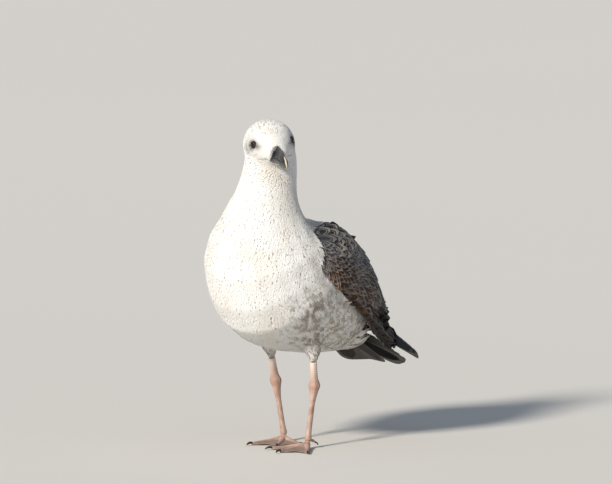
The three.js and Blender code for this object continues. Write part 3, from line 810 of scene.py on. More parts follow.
def buildCoat(material):
    look = bodyCoat
    roots, normals, reach = scatter(coatSpacing, look["tries"])
    local = birdToHead(roots)
    clear = np.ones(len(roots), bool)
    for _, side in sides:
        centre, out, fore, up = eyeFrame(side)
        off = local - centre
        wide, tall = eyeShape["halfWide"] + look["eyeRim"], eyeShape["halfTall"] + look["eyeRim"]
        isOutside = np.hypot((off @ fore) / wide, (off @ up) / tall) > 1
        clear &= isOutside | (np.linalg.norm(off, axis=1) > look["eyeReach"])
    roots, normals, reach, local = roots[clear], normals[clear], reach[clear], local[clear]
    count, thigh = len(roots), onThigh(roots)
    lies = lieAt(roots, normals)
    # feathers by the eye part round it, and are short
    shownAt, longest = np.full(count, look["shownAt"]), look["billLength"] + look["billGrowth"] * fromBill(local)
    eyeLimit = np.full(count, np.inf)
    for _, side in sides:
        off = roots - headToBird([eyeFrame(side)[0]])[0]
        distance = np.linalg.norm(off, axis=1)
        near = 1 - step(*look["eyeParting"], distance)
        lies = unit(lies + unit(off) * near[:, None] * look["partingTurn"])
        shownAt -= look["shownLess"] * near
        beyond = np.maximum(distance - look["eyeFrom"], 0)
        eyeLimit = np.minimum(eyeLimit, look["eyeLength"] + look["eyeGrowth"] * beyond)
    lies = unit(unit(flattened(lies, normals)) + rng.normal(0, look["lieSpread"], lies.shape))
    length = np.minimum(look["long"] * reach * rng.uniform(*look["longSpread"], count), longest)
    length = np.minimum(length * (1 - look["shorterOnThigh"] * thigh), eyeLimit)
    isSmall = reach < look["smallReach"]
    width = np.where(isSmall, look["smallWide"], look["wide"]) * reach * rng.uniform(*look["wideSpread"], count)
    depth = np.maximum(coatDepth(roots), look["thinnest"] - look["thinnerOnThigh"] * thigh)
    sizes = np.stack([length, width, depth * rng.uniform(*look["deepSpread"], count)], 1)
    # no white vane ends lie among the dark feathers behind the shoulder
    ends, _ = onSkin(roots + lies * length[:, None])
    isWhite = darkZone(ends, wingCoordinates(ends)) < look["whiteLimit"]
    clean = isWhite | (roots[:, 1] < look["shoulderEnd"])
    order = np.argsort(roots[:, 2] + 0.15 * roots[:, 1])
    order = order[clean[order]]
    isSmall = isSmall[order]
    pieces = int(np.ceil((~isSmall).sum() * vaneTriangles(bodyVane) / look["pieceTriangles"]))
    blocks = [("coat_head", smallVane, order[isSmall])]
    blocks += [("coat_body_%d" % (i + 1), bodyVane, block)
               for i, block in enumerate(np.array_split(order[~isSmall], pieces))]
    for name, grid, block in blocks:
        placed = [values[block] for values in (roots, normals, lies, sizes)]
        coatPiece(name, grid, placed, material, shownAt[block, None], **look["shape"])


# The bare legs. Heights and sizes are in mm, and the toe joints are where the toes of each foot meet.
legSkin = {
    "flesh": "#c1a99b", "pale": "#dbcbc0", "shade": "#94715f", "web": "#806d61", "joint": "#a58373",
    "scute": 2.4, "toeScute": 2.1, "deep": 0.22, "toeJoints": ((33, -19), (-25, 19)),
    "ankle": 72, "ankleTall": 4.5, "ankleOut": 1.1,
}


# Scaly bare skin of the legs: pink, waxy, a little greyer on the webs, with painted shade in the creases between the
# scutes.
def legMaterial():
    material, tree = newMaterial("scaly_leg_skin")
    place = addNode(tree, "ShaderNodeAttribute", {"attribute_name": "rootPlace"}, None, "Vector")
    broad = addNode(tree, "ShaderNodeTexNoise", None, {"Vector": place, "Scale": 1 / (12 * mm), "Detail": 3.0})
    broad = addNode(tree, "ShaderNodeMapRange", smooth, {0: broad, 1: 0.42, 2: 0.68})
    color = addNode(tree, "ShaderNodeMix", mixColor, {0: broad, 6: legSkin["flesh"], 7: legSkin["joint"]}, 2)
    # groove paints shade into the creases between the scutes
    for label, tone in (("web", "web"), ("high", "pale"), ("knob", "joint"), ("groove", "shade")):
        share = addNode(tree, "ShaderNodeAttribute", {"attribute_name": label}, None, "Fac")
        color = addNode(tree, "ShaderNodeMix", mixColor, {0: share, 6: color, 7: legSkin[tone]}, 2)
    cells = addNode(tree, "ShaderNodeTexVoronoi", None, {"Vector": place, "Scale": 1 / (1.3 * mm)})
    bump = addNode(tree, "ShaderNodeBump", None, {"Strength": 0.25, "Distance": 0.2 * mm, "Height": cells})
    return finishMaterial(material, tree, {
        "Base Color": color, "Normal": bump, "Roughness": 0.5, "Specular IOR Level": 0.4,
    })


def fromToeJoint(points):
    left, right = legSkin["toeJoints"]
    return points[:, :2] - np.where(points[:, :1] > 0, [left], [right])


# Rows of scutes down the front of each leg and along the toes, as shallow steps, and how deep each point sits.
def scuted(verts, normals):
    z = verts[:, 2]
    onLeg = step(10, 15, z) * (1 - step(92, 98, z))
    wave = np.abs(np.sin(np.pi * z / legSkin["scute"]))
    groove = (1 - step(0, 0.45, wave)) * onLeg * (1 - 0.5 * np.exp(-((z - 71) / 7.0) ** 2))
    along = np.hypot(*fromToeJoint(verts).T)
    onToes = (1 - step(9, 12, z)) * step(4, 9, along) * step(3.4, 4.6, z)
    toeGroove = (1 - step(0, 0.5, np.abs(np.sin(np.pi * along / legSkin["toeScute"])))) * onToes
    depth = np.maximum(groove, toeGroove)
    knob = np.exp(-((z - legSkin["ankle"]) / legSkin["ankleTall"]) ** 2) * legSkin["ankleOut"]
    return verts + normals * (knob - legSkin["deep"] * depth)[:, None], depth


def buildSkin():
    legVerts, legQuads = remeshed(legNodes, skinShape["legVoxel"])
    legVerts = relaxed(legVerts, legQuads, skinShape["legSmoothing"])
    legVerts[:, 2] = np.maximum(legVerts[:, 2], 0)
    legVerts, groove = scuted(legVerts, vertexNormals(legVerts, legQuads))
    legVerts[:, 2] = np.maximum(legVerts[:, 2], 0)
    verts = np.concatenate([skinVerts, legVerts])
    quads = np.concatenate([bodyQuads, legQuads + len(skinVerts)])
    mesh = meshFromArrays("hide", toWorld(verts), quads.ravel(), np.full(len(quads), 4))
    setAttribute(mesh, "rootPlace", toWorld(verts))
    for label, values in zoneAttributes(verts).items():
        setAttribute(mesh, label, values)
    z = legVerts[:, 2]
    spread = np.linalg.norm(fromToeJoint(legVerts), axis=1)
    # groove is painted shade: the creases between scutes take the shade colour
    legMarks = {
        "web": (1 - step(3.2, 5.0, z)) * step(6, 14, spread) * 0.8, "groove": groove * 0.6, "high": step(76, 98, z),
        "knob": 0.7 * np.exp(-((z - 71) / 8) ** 2) + 0.6 * np.exp(-((z - 11) / 6) ** 2),
    }
    for label, values in legMarks.items():
        setAttribute(mesh, label, np.concatenate([np.zeros(len(skinVerts)), values]))
    obj = linkPiece("hide", mesh, skinMaterial(), legMaterial())
    slots = np.repeat(np.arange(2, dtype=np.int32), (len(bodyQuads), len(legQuads)))
    mesh.polygons.foreach_set("material_index", slots)
    dress(obj, "white_plumage", *fleshNodes, *legNodes)
    print("skin:", len(bodyQuads) * 2, "body and", len(legQuads) * 2, "leg triangles")


wingFeather = {
    # grey is a bluish grey, partly painted shade on the pale coverts
    "ground": "#1a1819", "brown": "#352a24", "pale": "#a19a92", "rufous": "#744822", "grey": "#61636c",
    "shaft": "#0d0b0b",
}


# Dark keratin vanes with thin pale worn edges and fine paler lines inside, barbs slanting to the edge.
def wingMaterial(name, plain):
    material, tree = newMaterial(name)
    values = {label: addNode(tree, "ShaderNodeAttribute", {"attribute_name": label}, None, "Fac") for label in (
        "along", "across", "shade", "rufous", "greyed", "fringe", "inner", "slim")}
    place = addNode(tree, "ShaderNodeAttribute", {"attribute_name": "rootPlace"}, None, "Vector")
    # rim runs from 0 at the heart of the vane's open end to 1 at its edge
    ahead = addNode(tree, "ShaderNodeMapRange", None, {0: values["along"], 1: 0.30, 2: 1.0})
    ahead = addNode(tree, "ShaderNodeMath", power, {0: ahead, 1: 2.6})
    out = addNode(tree, "ShaderNodeMath", absolute, {0: values["across"]})
    rim = addNode(tree, "ShaderNodeMath", power, {0: out, 1: 2.4})
    rim = addNode(tree, "ShaderNodeMath", add, {0: rim, 1: ahead})
    rim = addNode(tree, "ShaderNodeMath", root, {0: rim})
    color = wingFeather["ground"]
    # greyed mixes in the bluish grey, which is partly painted shade
    for label, tone in (("shade", "brown"), ("rufous", "rufous"), ("greyed", "grey")):
        color = addNode(tree, "ShaderNodeMix", mixColor, {0: values[label], 6: color, 7: wingFeather[tone]}, 2)
    # pale lines: where on the rim each starts, is full, starts to fade and is gone
    lines = [("fringe", 0.84, 0.93, None, None)]
    if not plain:
        lines += [("inner", 0.64, 0.69, 0.73, 0.78), ("inner", 0.38, 0.43, 0.48, 0.53)]
    for label, start, full, back, gone in lines:
        line = addNode(tree, "ShaderNodeMapRange", smooth, {0: rim, 1: start, 2: full})
        if back:
            past = addNode(tree, "ShaderNodeMapRange", smooth, {0: rim, 1: back, 2: gone})
            line = addNode(tree, "ShaderNodeMath", minus, {0: line, 1: past})
        line = addNode(tree, "ShaderNodeMath", multiply, {0: line, 1: values[label]})
        color = addNode(tree, "ShaderNodeMix", mixColor, {0: line, 6: color, 7: wingFeather["pale"]}, 2)
    worn = addNode(tree, "ShaderNodeTexNoise", None, {"Vector": place, "Scale": 1 / (16 * mm), "Detail": 2.0})
    worn = addNode(tree, "ShaderNodeMapRange", None, {0: worn, 1: 0.4, 2: 0.7, 3: 0.0, 4: 0.35})
    color = addNode(tree, "ShaderNodeMix", mixColor, {0: worn, 6: color, 7: wingFeather["ground"]}, 2)
    shaft = addNode(tree, "ShaderNodeMapRange", smooth, {0: out, 1: 0.03, 2: 0.10, 3: 0.6, 4: 0.0})
    color = addNode(tree, "ShaderNodeMix", mixColor, {0: shaft, 6: color, 7: wingFeather["shaft"]}, 2)
    slant = addNode(tree, "ShaderNodeMath", multiply, {0: values["along"], 1: values["slim"]})
    slant = addNode(tree, "ShaderNodeMath", scaleAdd, {0: out, 1: -1.6, 2: slant})
    barbs = addNode(tree, "ShaderNodeTexNoise", slantwise, {"W": slant, "Scale": 26.0, "Detail": 2.0})
    bump = addNode(tree, "ShaderNodeBump", None, {"Strength": 0.35, "Distance": 0.25 * mm, "Height": barbs})
    return finishMaterial(material, tree, {
        "Base Color": color, "Normal": bump, "Roughness": 0.62, "Specular IOR Level": 0.15 if plain else 0.22,
    })


# Tracts of the folded wing. Rows are first, last and number along the panel, across is the share they cover, and
# sizes are in mm. The ends of a free tract's feathers run on past the body.
wingTracts = {
    "primary covert": {"rows": (0.80, 0.97, 4), "across": (0.0, 0.9), "length": 58, "width": 15, "gap": 8.5,
                       "lift": 1.6, "rufous": 0.0, "fringe": 0.3, "inner": 0.0, "dark": 0.1, "free": True},
    "lesser covert": {"rows": (0.0, 0.30, 13), "across": (0.0, 0.62), "length": 18, "width": 7.5, "gap": 5.2,
                      "lift": 2.4, "rufous": 0.32, "fringe": 0.55, "inner": 0.0, "dark": 0.5, "free": False},
    "median covert": {"rows": (0.24, 0.42, 6), "across": (-0.02, 0.60), "length": 32, "width": 9, "gap": 6.0,
                      "lift": 2.4, "rufous": 0.26, "fringe": 0.6, "inner": 0.0, "dark": 0.6, "free": False},
    "greater covert": {"rows": (0.40, 0.56, 4), "across": (-0.02, 0.72), "length": 56, "width": 9.5, "gap": 6.0,
                       "lift": 2.2, "rufous": 0.1, "fringe": 0.6, "inner": 0.0, "dark": 0.6, "free": False},
    "tertial": {"rows": (0.52, 0.78, 7), "across": (0.0, 1.02), "length": 66, "width": 13, "gap": 7.2,
                "lift": 2.2, "rufous": 0.02, "fringe": 0.5, "inner": 0.0, "dark": 0.25, "free": True},
    "scapular": {"rows": (0.05, 0.58, 11), "across": (0.50, 0.94), "length": 31, "width": 19, "gap": 10,
                 "lift": 3.0, "rufous": 0.0, "fringe": 0.8, "inner": 1.0, "dark": 0.1, "free": False},
}
# how much one feather may differ from the next of its tract, as factors or as shares of the panel
wingSpread = {"length": (0.9, 1.1), "width": (0.92, 1.08), "lift": (0.85, 1.1), "lies": 0.03, "along": 0.006,
              "across": 0.012}
freeCling, slimness = 0.25, 1.6


def wingRoots(tract, side):
    low, high = tract["across"]
    along, across = [], []
    for r, a in enumerate(np.linspace(*tract["rows"])):
        ends = wingPlace([a, a], [0, 1])
        number = max(2, int(round(np.linalg.norm(ends[1] - ends[0]) * (high - low) / tract["gap"])))
        along += [a] * number
        across += list(low + (high - low) * (np.arange(number) + (0.5 if r % 2 else 0.0)) / number)
    along = np.array(along) + rng.normal(0, wingSpread["along"], len(along))
    across = np.array(across) + rng.normal(0, wingSpread["across"], len(across))
    along = np.clip(along, 0, 0.98)
    places = wingPlace(along, across)
    ahead = wingPlace(np.clip(along + 0.04, 0, 1.04), across) - places
    places[:, 0] *= side
    ahead[:, 0] *= side
    return places, unit(ahead), along, across


# Where the wing coverts are paler, in a bluish grey that is partly painted shade: at the bend, and in a patch under the
# scapulars.
def paleAndShadedPatch(along, across):
    return (1 - step(0.0, 0.14, along)) * 0.55 + spot(along, across, (0.30, 0.42), (0.07, 0.16)) * 0.75


def buildWings(material):
    for sideName, side in sides:
        groups = []
        for tract in wingTracts.values():
            places, lies, along, across = wingRoots(tract, side)
            roots, normals = onSkin(places)
            lies = unit(flattened(unit(lies + rng.normal(0, wingSpread["lies"], lies.shape)), normals))
            count = len(roots)
            sizes = np.stack([tract[label] * rng.uniform(*wingSpread[label], count)
                              for label in ("length", "width", "lift")], 1)
            low = 1 - step(0.0, 0.5, across)
            traits = {
                "shade": np.clip(tract["dark"] * rng.uniform(0.3, 1.7, count), 0, 1),
                "rufous": np.clip(tract["rufous"] * 1.8 * low * rng.uniform(0.3, 1.5, count), 0, 1),
                "greyed": np.clip(paleAndShadedPatch(along, across) + rng.normal(0, 0.05, count), 0, 0.8),
                "fringe": np.clip(tract["fringe"] * rng.uniform(0.6, 1.1, count), 0, 1),
                "inner": tract["inner"] * rng.uniform(0.3, 1.0, count),
                "slim": np.full(count, slimness * tract["length"] / tract["width"]),
            }
            groups.append((tract["free"], (roots, normals, lies, sizes), traits))
        for pieceName, isFree in (("wing_feathers_", False), ("tertial_feathers_", True)):
            chosen = [group for group in groups if group[0] == isFree]
            placed = [np.concatenate(arrays) for arrays in zip(*(group[1] for group in chosen))]
            traits = {label: np.concatenate([group[2][label] for group in chosen]) for label in chosen[0][2]}
            featherPiece(pieceName + sideName, largeVane, placed, placed[0], traits, material, "mottled_plumage",
                         cling=freeCling if isFree else 1.0)


# Loose patches of larger feathers, in mm: lowest and highest length, width and lift.
mantleCoat = {
    "spacing": 6.0, "tries": 6000, "long": (17, 22), "wide": (11, 14), "lift": (1.4, 2.2), "lieSpread": 0.06,
    "offWing": (4, 8), "slim": 2.6,
}
ventCoat = {
    "spacing": 5.0, "tries": 4000, "long": (32, 44), "wide": (9, 12), "lift": (2.6, 3.6),
    "from": 62, "below": 150, "halfWide": 62, "facing": 0.2, "splay": 90, "splayMost": 0.45, "droop": -0.12,
    "lieSpread": 0.06, "underWing": 0.02, "offWing": 22, "shownAt": 0.75,
    "shape": {"camber": 0.12, "ragged": 0.02, "riseCurve": 0.6, "cling": 0.3},
}


def drawnSizes(patch, count):
    return np.stack([rng.uniform(*patch[label], count) for label in ("long", "wide", "lift")], 1)


# The mantle, over the back between the wings.
def buildMantle(material):
    def spacing(points):
        wing = wingCoordinates(points)
        between = darkZone(points, wing) * step(*mantleCoat["offWing"], wing[:, 2])
        return np.where(between > 0.5, mantleCoat["spacing"], 0)
    roots, normals, _ = scatter(spacing, mantleCoat["tries"])
    lies = unit(lieAt(roots, normals) + rng.normal(0, mantleCoat["lieSpread"], roots.shape))
    count = len(roots)
    placed = (roots, normals, lies, drawnSizes(mantleCoat, count))
    traits = {
        "shade": rng.uniform(0.0, 0.5, count), "rufous": np.zeros(count),
        "greyed": np.clip(rng.normal(0.25, 0.1, count), 0, 0.6), "fringe": rng.uniform(0.45, 0.9, count),
        "inner": rng.uniform(0.2, 0.9, count), "slim": np.full(count, mantleCoat["slim"]),
    }
    featherPiece("mantle_feathers", largeVane, placed, roots, traits, material, "mottled_plumage")


# Long soft feathers round the vent, over the bases of the tail and clear of the wings.
def buildVent(material):
    def spacing(points):
        x, y, z = mirrored(points)
        pale = darkZone(points, wingCoordinates(points)) < 0.5
        inside = (y > ventCoat["from"]) & (z < ventCoat["below"]) & (x < ventCoat["halfWide"]) & pale
        return np.where(inside, ventCoat["spacing"], 0)
    roots, normals, _ = scatter(spacing, ventCoat["tries"])
    under = normals[:, 2] < ventCoat["facing"]
    roots, normals = roots[under], normals[under]
    count = len(roots)
    aside = np.sign(roots[:, 0]) * np.minimum(np.abs(roots[:, 0]) / ventCoat["splay"], ventCoat["splayMost"])
    lies = unit(np.stack([aside, np.ones(count), np.full(count, ventCoat["droop"])], 1))
    lies = unit(lies + rng.normal(0, ventCoat["lieSpread"], lies.shape))
    sizes = drawnSizes(ventCoat, count)
    starts, ends = wingCoordinates(roots), wingCoordinates(roots + lies * sizes[:, :1])
    belowWing = np.maximum(starts[:, 1], ends[:, 1]) < ventCoat["underWing"]
    clear = belowWing | (np.minimum(starts[:, 2], ends[:, 2]) > ventCoat["offWing"])
    placed = [values[clear] for values in (roots, normals, lies, sizes)]
    coatPiece("vent_feathers", largeVane, placed, material, ventCoat["shownAt"], **ventCoat["shape"])


# Quills, in mm and degrees. Roots mirror for the right wing, each next primary steps out and down, and the
# tail's pairs stack from the top.
wingTips = {
    "left": {"inward": 7, "slope": -17, "roll": 52, "longest": 130},
    "right": {"inward": 26, "slope": -21, "roll": 34, "longest": 132},
}
primaryShape = {
    "count": 6, "root": (34, 104, 134), "width": 18, "shortest": 82, "thick": 1.2, "bend": 0.01, "lean": 0.1,
    "traits": {"shade": 0.05, "rufous": 0.0, "greyed": 0.0, "fringe": 0.5, "inner": 0.0, "slim": 9.0},
}
tailShape = {
    "pairs": 6, "root": (10, 92, 124), "stack": 0.45, "slope": -30, "roll": 10, "spread": 9, "width": 25,
    "length": 80, "outerShorter": 5, "thick": 0.9,
    "traits": {"shade": 0.5, "rufous": 0.0, "greyed": 0.0, "fringe": 0.25, "inner": 0.0, "slim": 6.0},
}


# One long feather's points, its tip towards +Y and its face up.
def quill(length, width, thick, bend=0.0, lean=0.0):
    across, along = longVane[:2]
    tip = np.clip((1 - along) / (0.62 * width / length), 0, 1)
    half = (0.30 + 0.70 * step(0, 0.3, along)) * np.sqrt(np.clip(1 - (1 - tip) ** 2, 0, 1)) ** 0.9
    x = across * half * width / 2 * (1 + lean * np.sign(across))
    arch = 0.055 * width * (1 - across ** 2) * half
    shaft = 0.5 * thick * np.exp(-(across / 0.12) ** 2) * (1 - 0.7 * along)
    z = thick / 2 + arch + shaft - bend * length * along ** 2
    z = np.where(np.abs(across) > 0.999, z - thick / 2, z)  # the side edges
    return np.stack([x, along * length, z], 1)


# feathers holds each quill's points and the place its patch takes on the unwrap.
def quillPiece(name, feathers, material, traits, replaced):
    verts = np.concatenate([points for points, _ in feathers])
    mesh = meshOfVanes(name, longVane, verts, len(feathers))
    setAttribute(mesh, "rootPlace", toWorld(verts))
    for label, value in traits.items():
        setAttribute(mesh, label, np.full(len(verts), value))
    patchOnWrap(mesh, longVane, np.array([root for _, root in feathers]), patchSize["quill"])
    dress(linkPiece(name, mesh, material), "dark_plumage", replaced)
    print(name, len(feathers), "quills")


def buildQuills():
    material = wingMaterial("flight_feather_keratin", plain=True)
    for name, side in sides:
        tips, primary = wingTips[name], primaryShape
        x, y, z = primary["root"]
        feathers = []
        for i in range(primary["count"]):
            share = i / (primary["count"] - 1)
            turn = rotation(("Z", tips["inward"]), ("X", tips["slope"] - 2 * share), ("Y", tips["roll"]))
            length = primary["shortest"] + (tips["longest"] - primary["shortest"]) * share
            shape = quill(length, primary["width"], primary["thick"], primary["bend"], primary["lean"])
            place = shape @ np.array(turn.to_3x3()).T + np.array([x + 1.0 * i, y, z - 1.0 * i])
            place[:, 0] *= side
            feathers.append((place, np.array([side * x, y + length * 0.5, z - 2.0 * i])))
        quillPiece("primary_feathers_" + name, feathers, material, primary["traits"], "primaries_" + name)
    feathers = []
    x, y, z = tailShape["root"]
    for i in range(tailShape["pairs"]):
        share = (i + 0.5) / tailShape["pairs"]
        for _, side in sides:
            turn = rotation(("X", tailShape["slope"]), ("Y", side * tailShape["roll"] * share),
                            ("Z", -side * tailShape["spread"] * share))
            length = tailShape["length"] - tailShape["outerShorter"] * share ** 2
            shape = quill(length, tailShape["width"], tailShape["thick"])
            place = np.array([side * x * share, y, z - i * tailShape["stack"]])
            feathers.append((shape @ np.array(turn.to_3x3()).T + place, place + np.array([0, 30 + 2.0 * i, 0])))
    quillPiece("tail_feathers", feathers, material, tailShape["traits"], "tail")


# Stations in the head's frame: y, z of the mouth line, half width, height above it, depth below, and roundness.
billShape = {
    "upper": [
        (-17, -14.4, 12.5, 13.0, 1.0, 0.58), (-26, -14.4, 11.6, 15.2, 1.0, 0.6), (-34, -13.4, 7.6, 13.8, 1.2, 0.66),
        (-44, -12.2, 5.6, 11.2, 1.4, 0.76), (-56, -12.4, 4.6, 9.0, 1.6, 0.95), (-65, -13.8, 3.8, 7.6, 2.0, 1.2),
        (-72, -16.6, 2.8, 5.8, 2.6, 1.6), (-75.6, -19.4, 1.6, 3.4, 2.0, 2.0),
    ],
    "lower": [
        (-17, -14.9, 11.6, 0.4, 5.6, 1.4), (-26, -14.9, 10.6, 0.3, 6.4, 1.4), (-34, -14.1, 8.0, 0.2, 6.8, 1.6),
        (-44, -12.9, 5.8, 0.2, 7.8, 1.8), (-56, -13.8, 4.4, 0.2, 8.2, 1.7), (-62, -15.0, 3.4, 0.2, 5.8, 1.7),
        (-68, -16.8, 2.0, 0.2, 2.8, 1.8),
    ],
    "rings": 72, "around": 60, "closing": (0.965, 0.035), "underPower": 0.9,
    "nostril": (-44, 4.2), "nostrilSize": (4.2, 1.1), "nostrilDeep": 1.1,
}
billColor = {"horn": "#212023", "sheen": "#4a4a50", "tip": "#c8bda2", "gape": "#6d5048"}


def mandible(stations, hasNostril):
    rings, around = billShape["rings"], billShape["around"]
    shares = np.linspace(0, 1, rings)
    angle = np.linspace(0, 2 * np.pi, around, endpoint=False)
    c, s = np.cos(angle), np.sin(angle)
    closeFrom, closeOver = billShape["closing"]
    verts = []
    for share, (y, z, wide, top, bottom, power) in zip(shares, catmull(stations, shares)):
        x = wide * np.sign(c) * np.abs(c) ** (2 / power)
        upPower = np.where(s > 0, 2 / power, billShape["underPower"])
        rise = np.where(s > 0, top, bottom) * np.sign(s) * np.abs(s) ** upPower
        past = max(0.0, (share - closeFrom) / closeOver)
        close = math.sqrt(max(0.0, 1 - past ** 2))
        ring = np.stack([x * close, np.full(around, y), z + rise * close], 1)
        if hasNostril:
            height = ring[:, 2] - z
            hollow = billShape["nostrilDeep"] * spot(ring[:, 1], height, billShape["nostril"], billShape["nostrilSize"])
            ring[:, 0] -= np.sign(ring[:, 0]) * hollow
        verts.append(ring)
    faces = []
    for start in range(0, (rings - 1) * around, around):
        for a in range(around):
            b = (a + 1) % around
            faces.append((start + a, start + around + a, start + around + b, start + b))
    faces.append(tuple(range(around)))
    faces.append(tuple((rings - 1) * around + a for a in reversed(range(around))))
    return np.concatenate(verts), faces


# Horn of the bill: near black and satin, with paler patches that are partly rubbed wear and partly painted sheen, and
# an ivory streak at the tip.
def billMaterial():
    material, tree = newMaterial("bill_horn")
    place = addNode(tree, "ShaderNodeAttribute", {"attribute_name": "billPlace"}, None, "Vector")
    along, aside = (addNode(tree, "ShaderNodeSeparateXYZ", None, {"Vector": place}, axis) for axis in "YX")
    aside = addNode(tree, "ShaderNodeMath", absolute, {0: aside})
    noise = addNode(tree, "ShaderNodeTexNoise", None, {"Vector": place, "Scale": 0.35, "Detail": 4.0})
    # partly painted sheen: noise patches of the paler sheen colour, partly rubbed wear
    wearAndSheen = addNode(tree, "ShaderNodeMapRange", smooth, {0: noise, 1: 0.4, 2: 0.75})
    tip = addNode(tree, "ShaderNodeMapRange", smooth, {0: along, 1: -66.0, 2: -71.0})
    narrow = addNode(tree, "ShaderNodeMapRange", smooth, {0: aside, 1: 0.5, 2: 1.3, 3: 1.0, 4: 0.0})
    tip = addNode(tree, "ShaderNodeMath", multiply, {0: tip, 1: narrow})
    gape = addNode(tree, "ShaderNodeMapRange", smooth, {0: along, 1: -33.0, 2: -27.0, 4: 0.4})
    color = billColor["horn"]
    for share, tone in ((wearAndSheen, "sheen"), (tip, "tip"), (gape, "gape")):
        color = addNode(tree, "ShaderNodeMix", mixColor, {0: share, 6: color, 7: billColor[tone]}, 2)
    stretched = addNode(tree, "ShaderNodeMapping", None, {"Vector": place, "Scale": (1.0, 0.16, 1.0)})
    grain = addNode(tree, "ShaderNodeTexNoise", None, {"Vector": stretched, "Scale": 2.2, "Detail": 2.0})
    bump = addNode(tree, "ShaderNodeBump", None, {"Strength": 0.2, "Distance": 0.2 * mm, "Height": grain})
    return finishMaterial(material, tree, {
        "Base Color": color, "Normal": bump, "Roughness": 0.4, "Specular IOR Level": 0.4,
        "Coat Weight": 0.1, "Coat Roughness": 0.3,
    })


def buildBill():
    material = billMaterial()
    for name in ("upper", "lower"):
        verts, faces = mandible(billShape[name], name == "upper")
        mesh = meshFromFaces("mandible_" + name, toWorld(headToBird(verts)), faces)
        piece = linkPiece("mandible_" + name, mesh, material)
        setAttribute(mesh, "billPlace", verts)
        dress(piece, "bill_horn", "bill_" + name)
    print("bill placed")


# Dark brown iris under a wet cornea.
def eyeMaterial():
    material, tree = newMaterial("eye_cornea_and_iris")
    off = addNode(tree, "ShaderNodeAttribute", {"attribute_name": "fromCentre"}, None, "Fac")
    pupilEdge, irisEdge = eyeShape["pupil"]
    iris = addNode(tree, "ShaderNodeMapRange", smooth, {0: off, 1: pupilEdge, 2: irisEdge})
    color = addNode(tree, "ShaderNodeMix", mixColor, {0: iris, 6: "#020202", 7: "#180e09"}, 2)
    return finishMaterial(material, tree, {
        "Base Color": color, "Roughness": 0.12, "IOR": 1.376, "Coat Weight": 0.4, "Coat Roughness": 0.03,
    })


# Bare rim of the lids: thin dusky skin, finely creased.
def lidMaterial():
    material, tree = newMaterial("eyelid_skin")
    place = addNode(tree, "ShaderNodeAttribute", {"attribute_name": "rootPlace"}, None, "Vector")
    noise = addNode(tree, "ShaderNodeTexNoise", None, {"Vector": place, "Scale": 1 / (0.8 * mm), "Detail": 3.0})
    color = addNode(tree, "ShaderNodeMix", mixColor, {0: noise, 6: "#0f0c0b", 7: "#2b221e"}, 2)
    bump = addNode(tree, "ShaderNodeBump", None, {"Strength": 0.4, "Distance": 0.15 * mm, "Height": noise})
    return finishMaterial(material, tree, {"Base Color": color, "Normal": bump, "Roughness": 0.6})


def eyeball(name, side):
    centre, out, _, _ = eyeFrame(side)
    bm = bmesh.new()
    bmesh.ops.create_uvsphere(bm, u_segments=40, v_segments=24, radius=eyeShape["ball"])
    mesh = bpy.data.meshes.new(name)
    bm.to_mesh(mesh)
    bm.free()
    mesh.shade_smooth()
    local = np.array([v.co for v in mesh.vertices])
    off = np.linalg.norm(local - out * (local @ out)[:, None], axis=1)
    mesh.vertices.foreach_set("co", toWorld(headToBird(local + centre)).astype(np.float32).ravel())
    mesh.update()
    setAttribute(mesh, "fromCentre", np.where(local @ out > 0, off, 9))  # no pupil at the back
    return mesh


# The lids: a rolled rim round the opening, its outer edge under the feathers.
def eyelid(name, side):
    centre, out, fore, up = eyeFrame(side)
    rounds, parts = 48, 10
    verts, faces = [], []
    for i in range(rounds):
        turn = 2 * np.pi * i / rounds
        c, s = math.cos(turn), math.sin(turn)
        tall = eyeShape["halfTall"] * s * (eyeShape["squint"] if s > 0 else 1.0)
        rim = np.array([eyeShape["halfWide"] * c, tall - eyeShape["droop"] * abs(c)])
        outward = rim / np.linalg.norm(rim)
        for j in range(parts):
            roll = 2 * np.pi * j / parts
            flat = rim + outward * (eyeShape["lid"] * 0.5 * (1 - math.cos(roll)))
            surface = math.sqrt(max(0.2, eyeShape["ball"] ** 2 - np.linalg.norm(flat) ** 2))
            height = surface + eyeShape["lidLift"] + eyeShape["lidRoll"] * math.sin(roll)
            verts.append(centre + fore * flat[0] + up * flat[1] + out * height)
            n, m = (i + 1) % rounds, (j + 1) % parts
            faces.append((i * parts + j, i * parts + m, n * parts + m, n * parts + j))
    verts = toWorld(headToBird(np.array(verts)))
    mesh = meshFromFaces(name, verts, faces)
    setAttribute(mesh, "rootPlace", verts)
    return mesh


def buildEyes():
    cornea, lids = eyeMaterial(), lidMaterial()
    for name, side in sides:
        dress(linkPiece("eyeball_" + name, eyeball("eyeball_" + name, side), cornea), "eye", "eye_" + name)
        dress(linkPiece("eyelid_" + name, eyelid("eyelid_" + name, side), lids), "eye")
    print("eyes placed")


# Claw sheaths: black horn with a soft polish, greyer where worn.
def clawMaterial():
    material, tree = newMaterial("claw_horn")
    place = addNode(tree, "ShaderNodeTexCoord", None, None, "Object")
    noise = addNode(tree, "ShaderNodeTexNoise", None, {"Vector": place, "Scale": 1 / (3 * mm), "Detail": 3.0})
    color = addNode(tree, "ShaderNodeMix", mixColor, {0: noise, 6: "#171413", 7: "#3b3532"}, 2)
    bump = addNode(tree, "ShaderNodeBump", None, {"Strength": 0.2, "Distance": 0.2 * mm, "Height": noise})
    return finishMaterial(material, tree, {"Base Color": color, "Normal": bump, "Roughness": 0.35})


# The claws keep their solids and only take the horn.
def dressClaws():
    material = clawMaterial()
    for name, obj in nodes.items():
        if name.startswith("claw_"):
            obj.data.materials.clear()
            obj.data.materials.append(material)


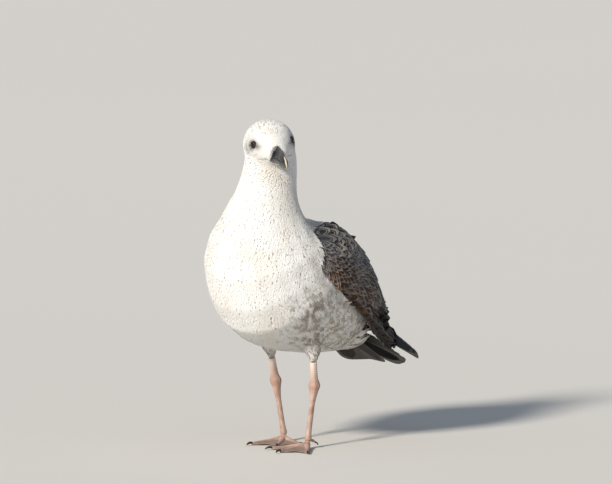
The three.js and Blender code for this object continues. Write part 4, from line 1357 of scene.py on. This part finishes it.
buildSkin()
whiteFeathers = coatMaterial()
buildCoat(whiteFeathers)
barredFeathers = wingMaterial("covert_feather_keratin", plain=False)
buildWings(barredFeathers)
buildMantle(barredFeathers)
buildVent(whiteFeathers)
buildQuills()
buildBill()
buildEyes()
dressClaws()
print("bird built")

# sun is how far it stands to the right of the bird and behind it, as the camera sees it; angles in degrees
studio = {
    "floor": "#d9d6d0", "worn": "#d4d1cb", "halfSize": 30.0, "sky": "#c9d6e8", "fill": 0.44,
    "key": "#fff8ee", "keyStrength": 4.4, "keyAngle": 9.0, "sun": (-0.58, -0.81), "sunHeight": 30,
}


# A plain matt painted floor, faintly uneven, under a pale sky and one soft sun.
def addStudio():
    material, tree = newMaterial("painted_floor")
    noise = addNode(tree, "ShaderNodeTexNoise", None, {"Scale": 6.0, "Detail": 4.0})
    noise = addNode(tree, "ShaderNodeMapRange", smooth, {0: noise, 1: 0.3, 2: 0.7})
    color = addNode(tree, "ShaderNodeMix", mixColor, {0: noise, 6: studio["floor"], 7: studio["worn"]}, 2)
    finishMaterial(material, tree, {"Base Color": color, "Roughness": 0.85, "Specular IOR Level": 0.2})
    half = studio["halfSize"]
    corners = [(-half, -half, 0), (half, -half, 0), (half, half, 0), (-half, half, 0)]
    linkPiece("floor", meshFromFaces("floor", corners, [(0, 1, 2, 3)], isSmooth=False), material)
    world = bpy.data.worlds.new("studio")
    bpy.context.scene.world = world
    world.use_nodes = True
    background = world.node_tree.nodes["Background"].inputs
    background["Color"].default_value = toLinear(studio["sky"])
    background["Strength"].default_value = studio["fill"]
    turn = math.radians(camera["azimuth"])
    right = Vector((math.cos(turn), math.sin(turn), 0))
    away = Vector((-math.sin(turn), math.cos(turn), 0))
    rise = math.tan(math.radians(studio["sunHeight"]))
    toSun = right * studio["sun"][0] + away * studio["sun"][1] + Vector((0, 0, rise))
    key = bpy.data.lights.new("key", "SUN")
    key.energy = studio["keyStrength"]
    key.angle = math.radians(studio["keyAngle"])
    key.color = toLinear(studio["key"])[:3]
    lamp = bpy.data.objects.new("key", key)
    lamp.rotation_euler = toSun.to_track_quat("Z", "Y").to_euler()
    bpy.context.scene.collection.objects.link(lamp)
    bpy.context.scene.view_settings.view_transform = "Standard"


addStudio()
print("floor and light placed")
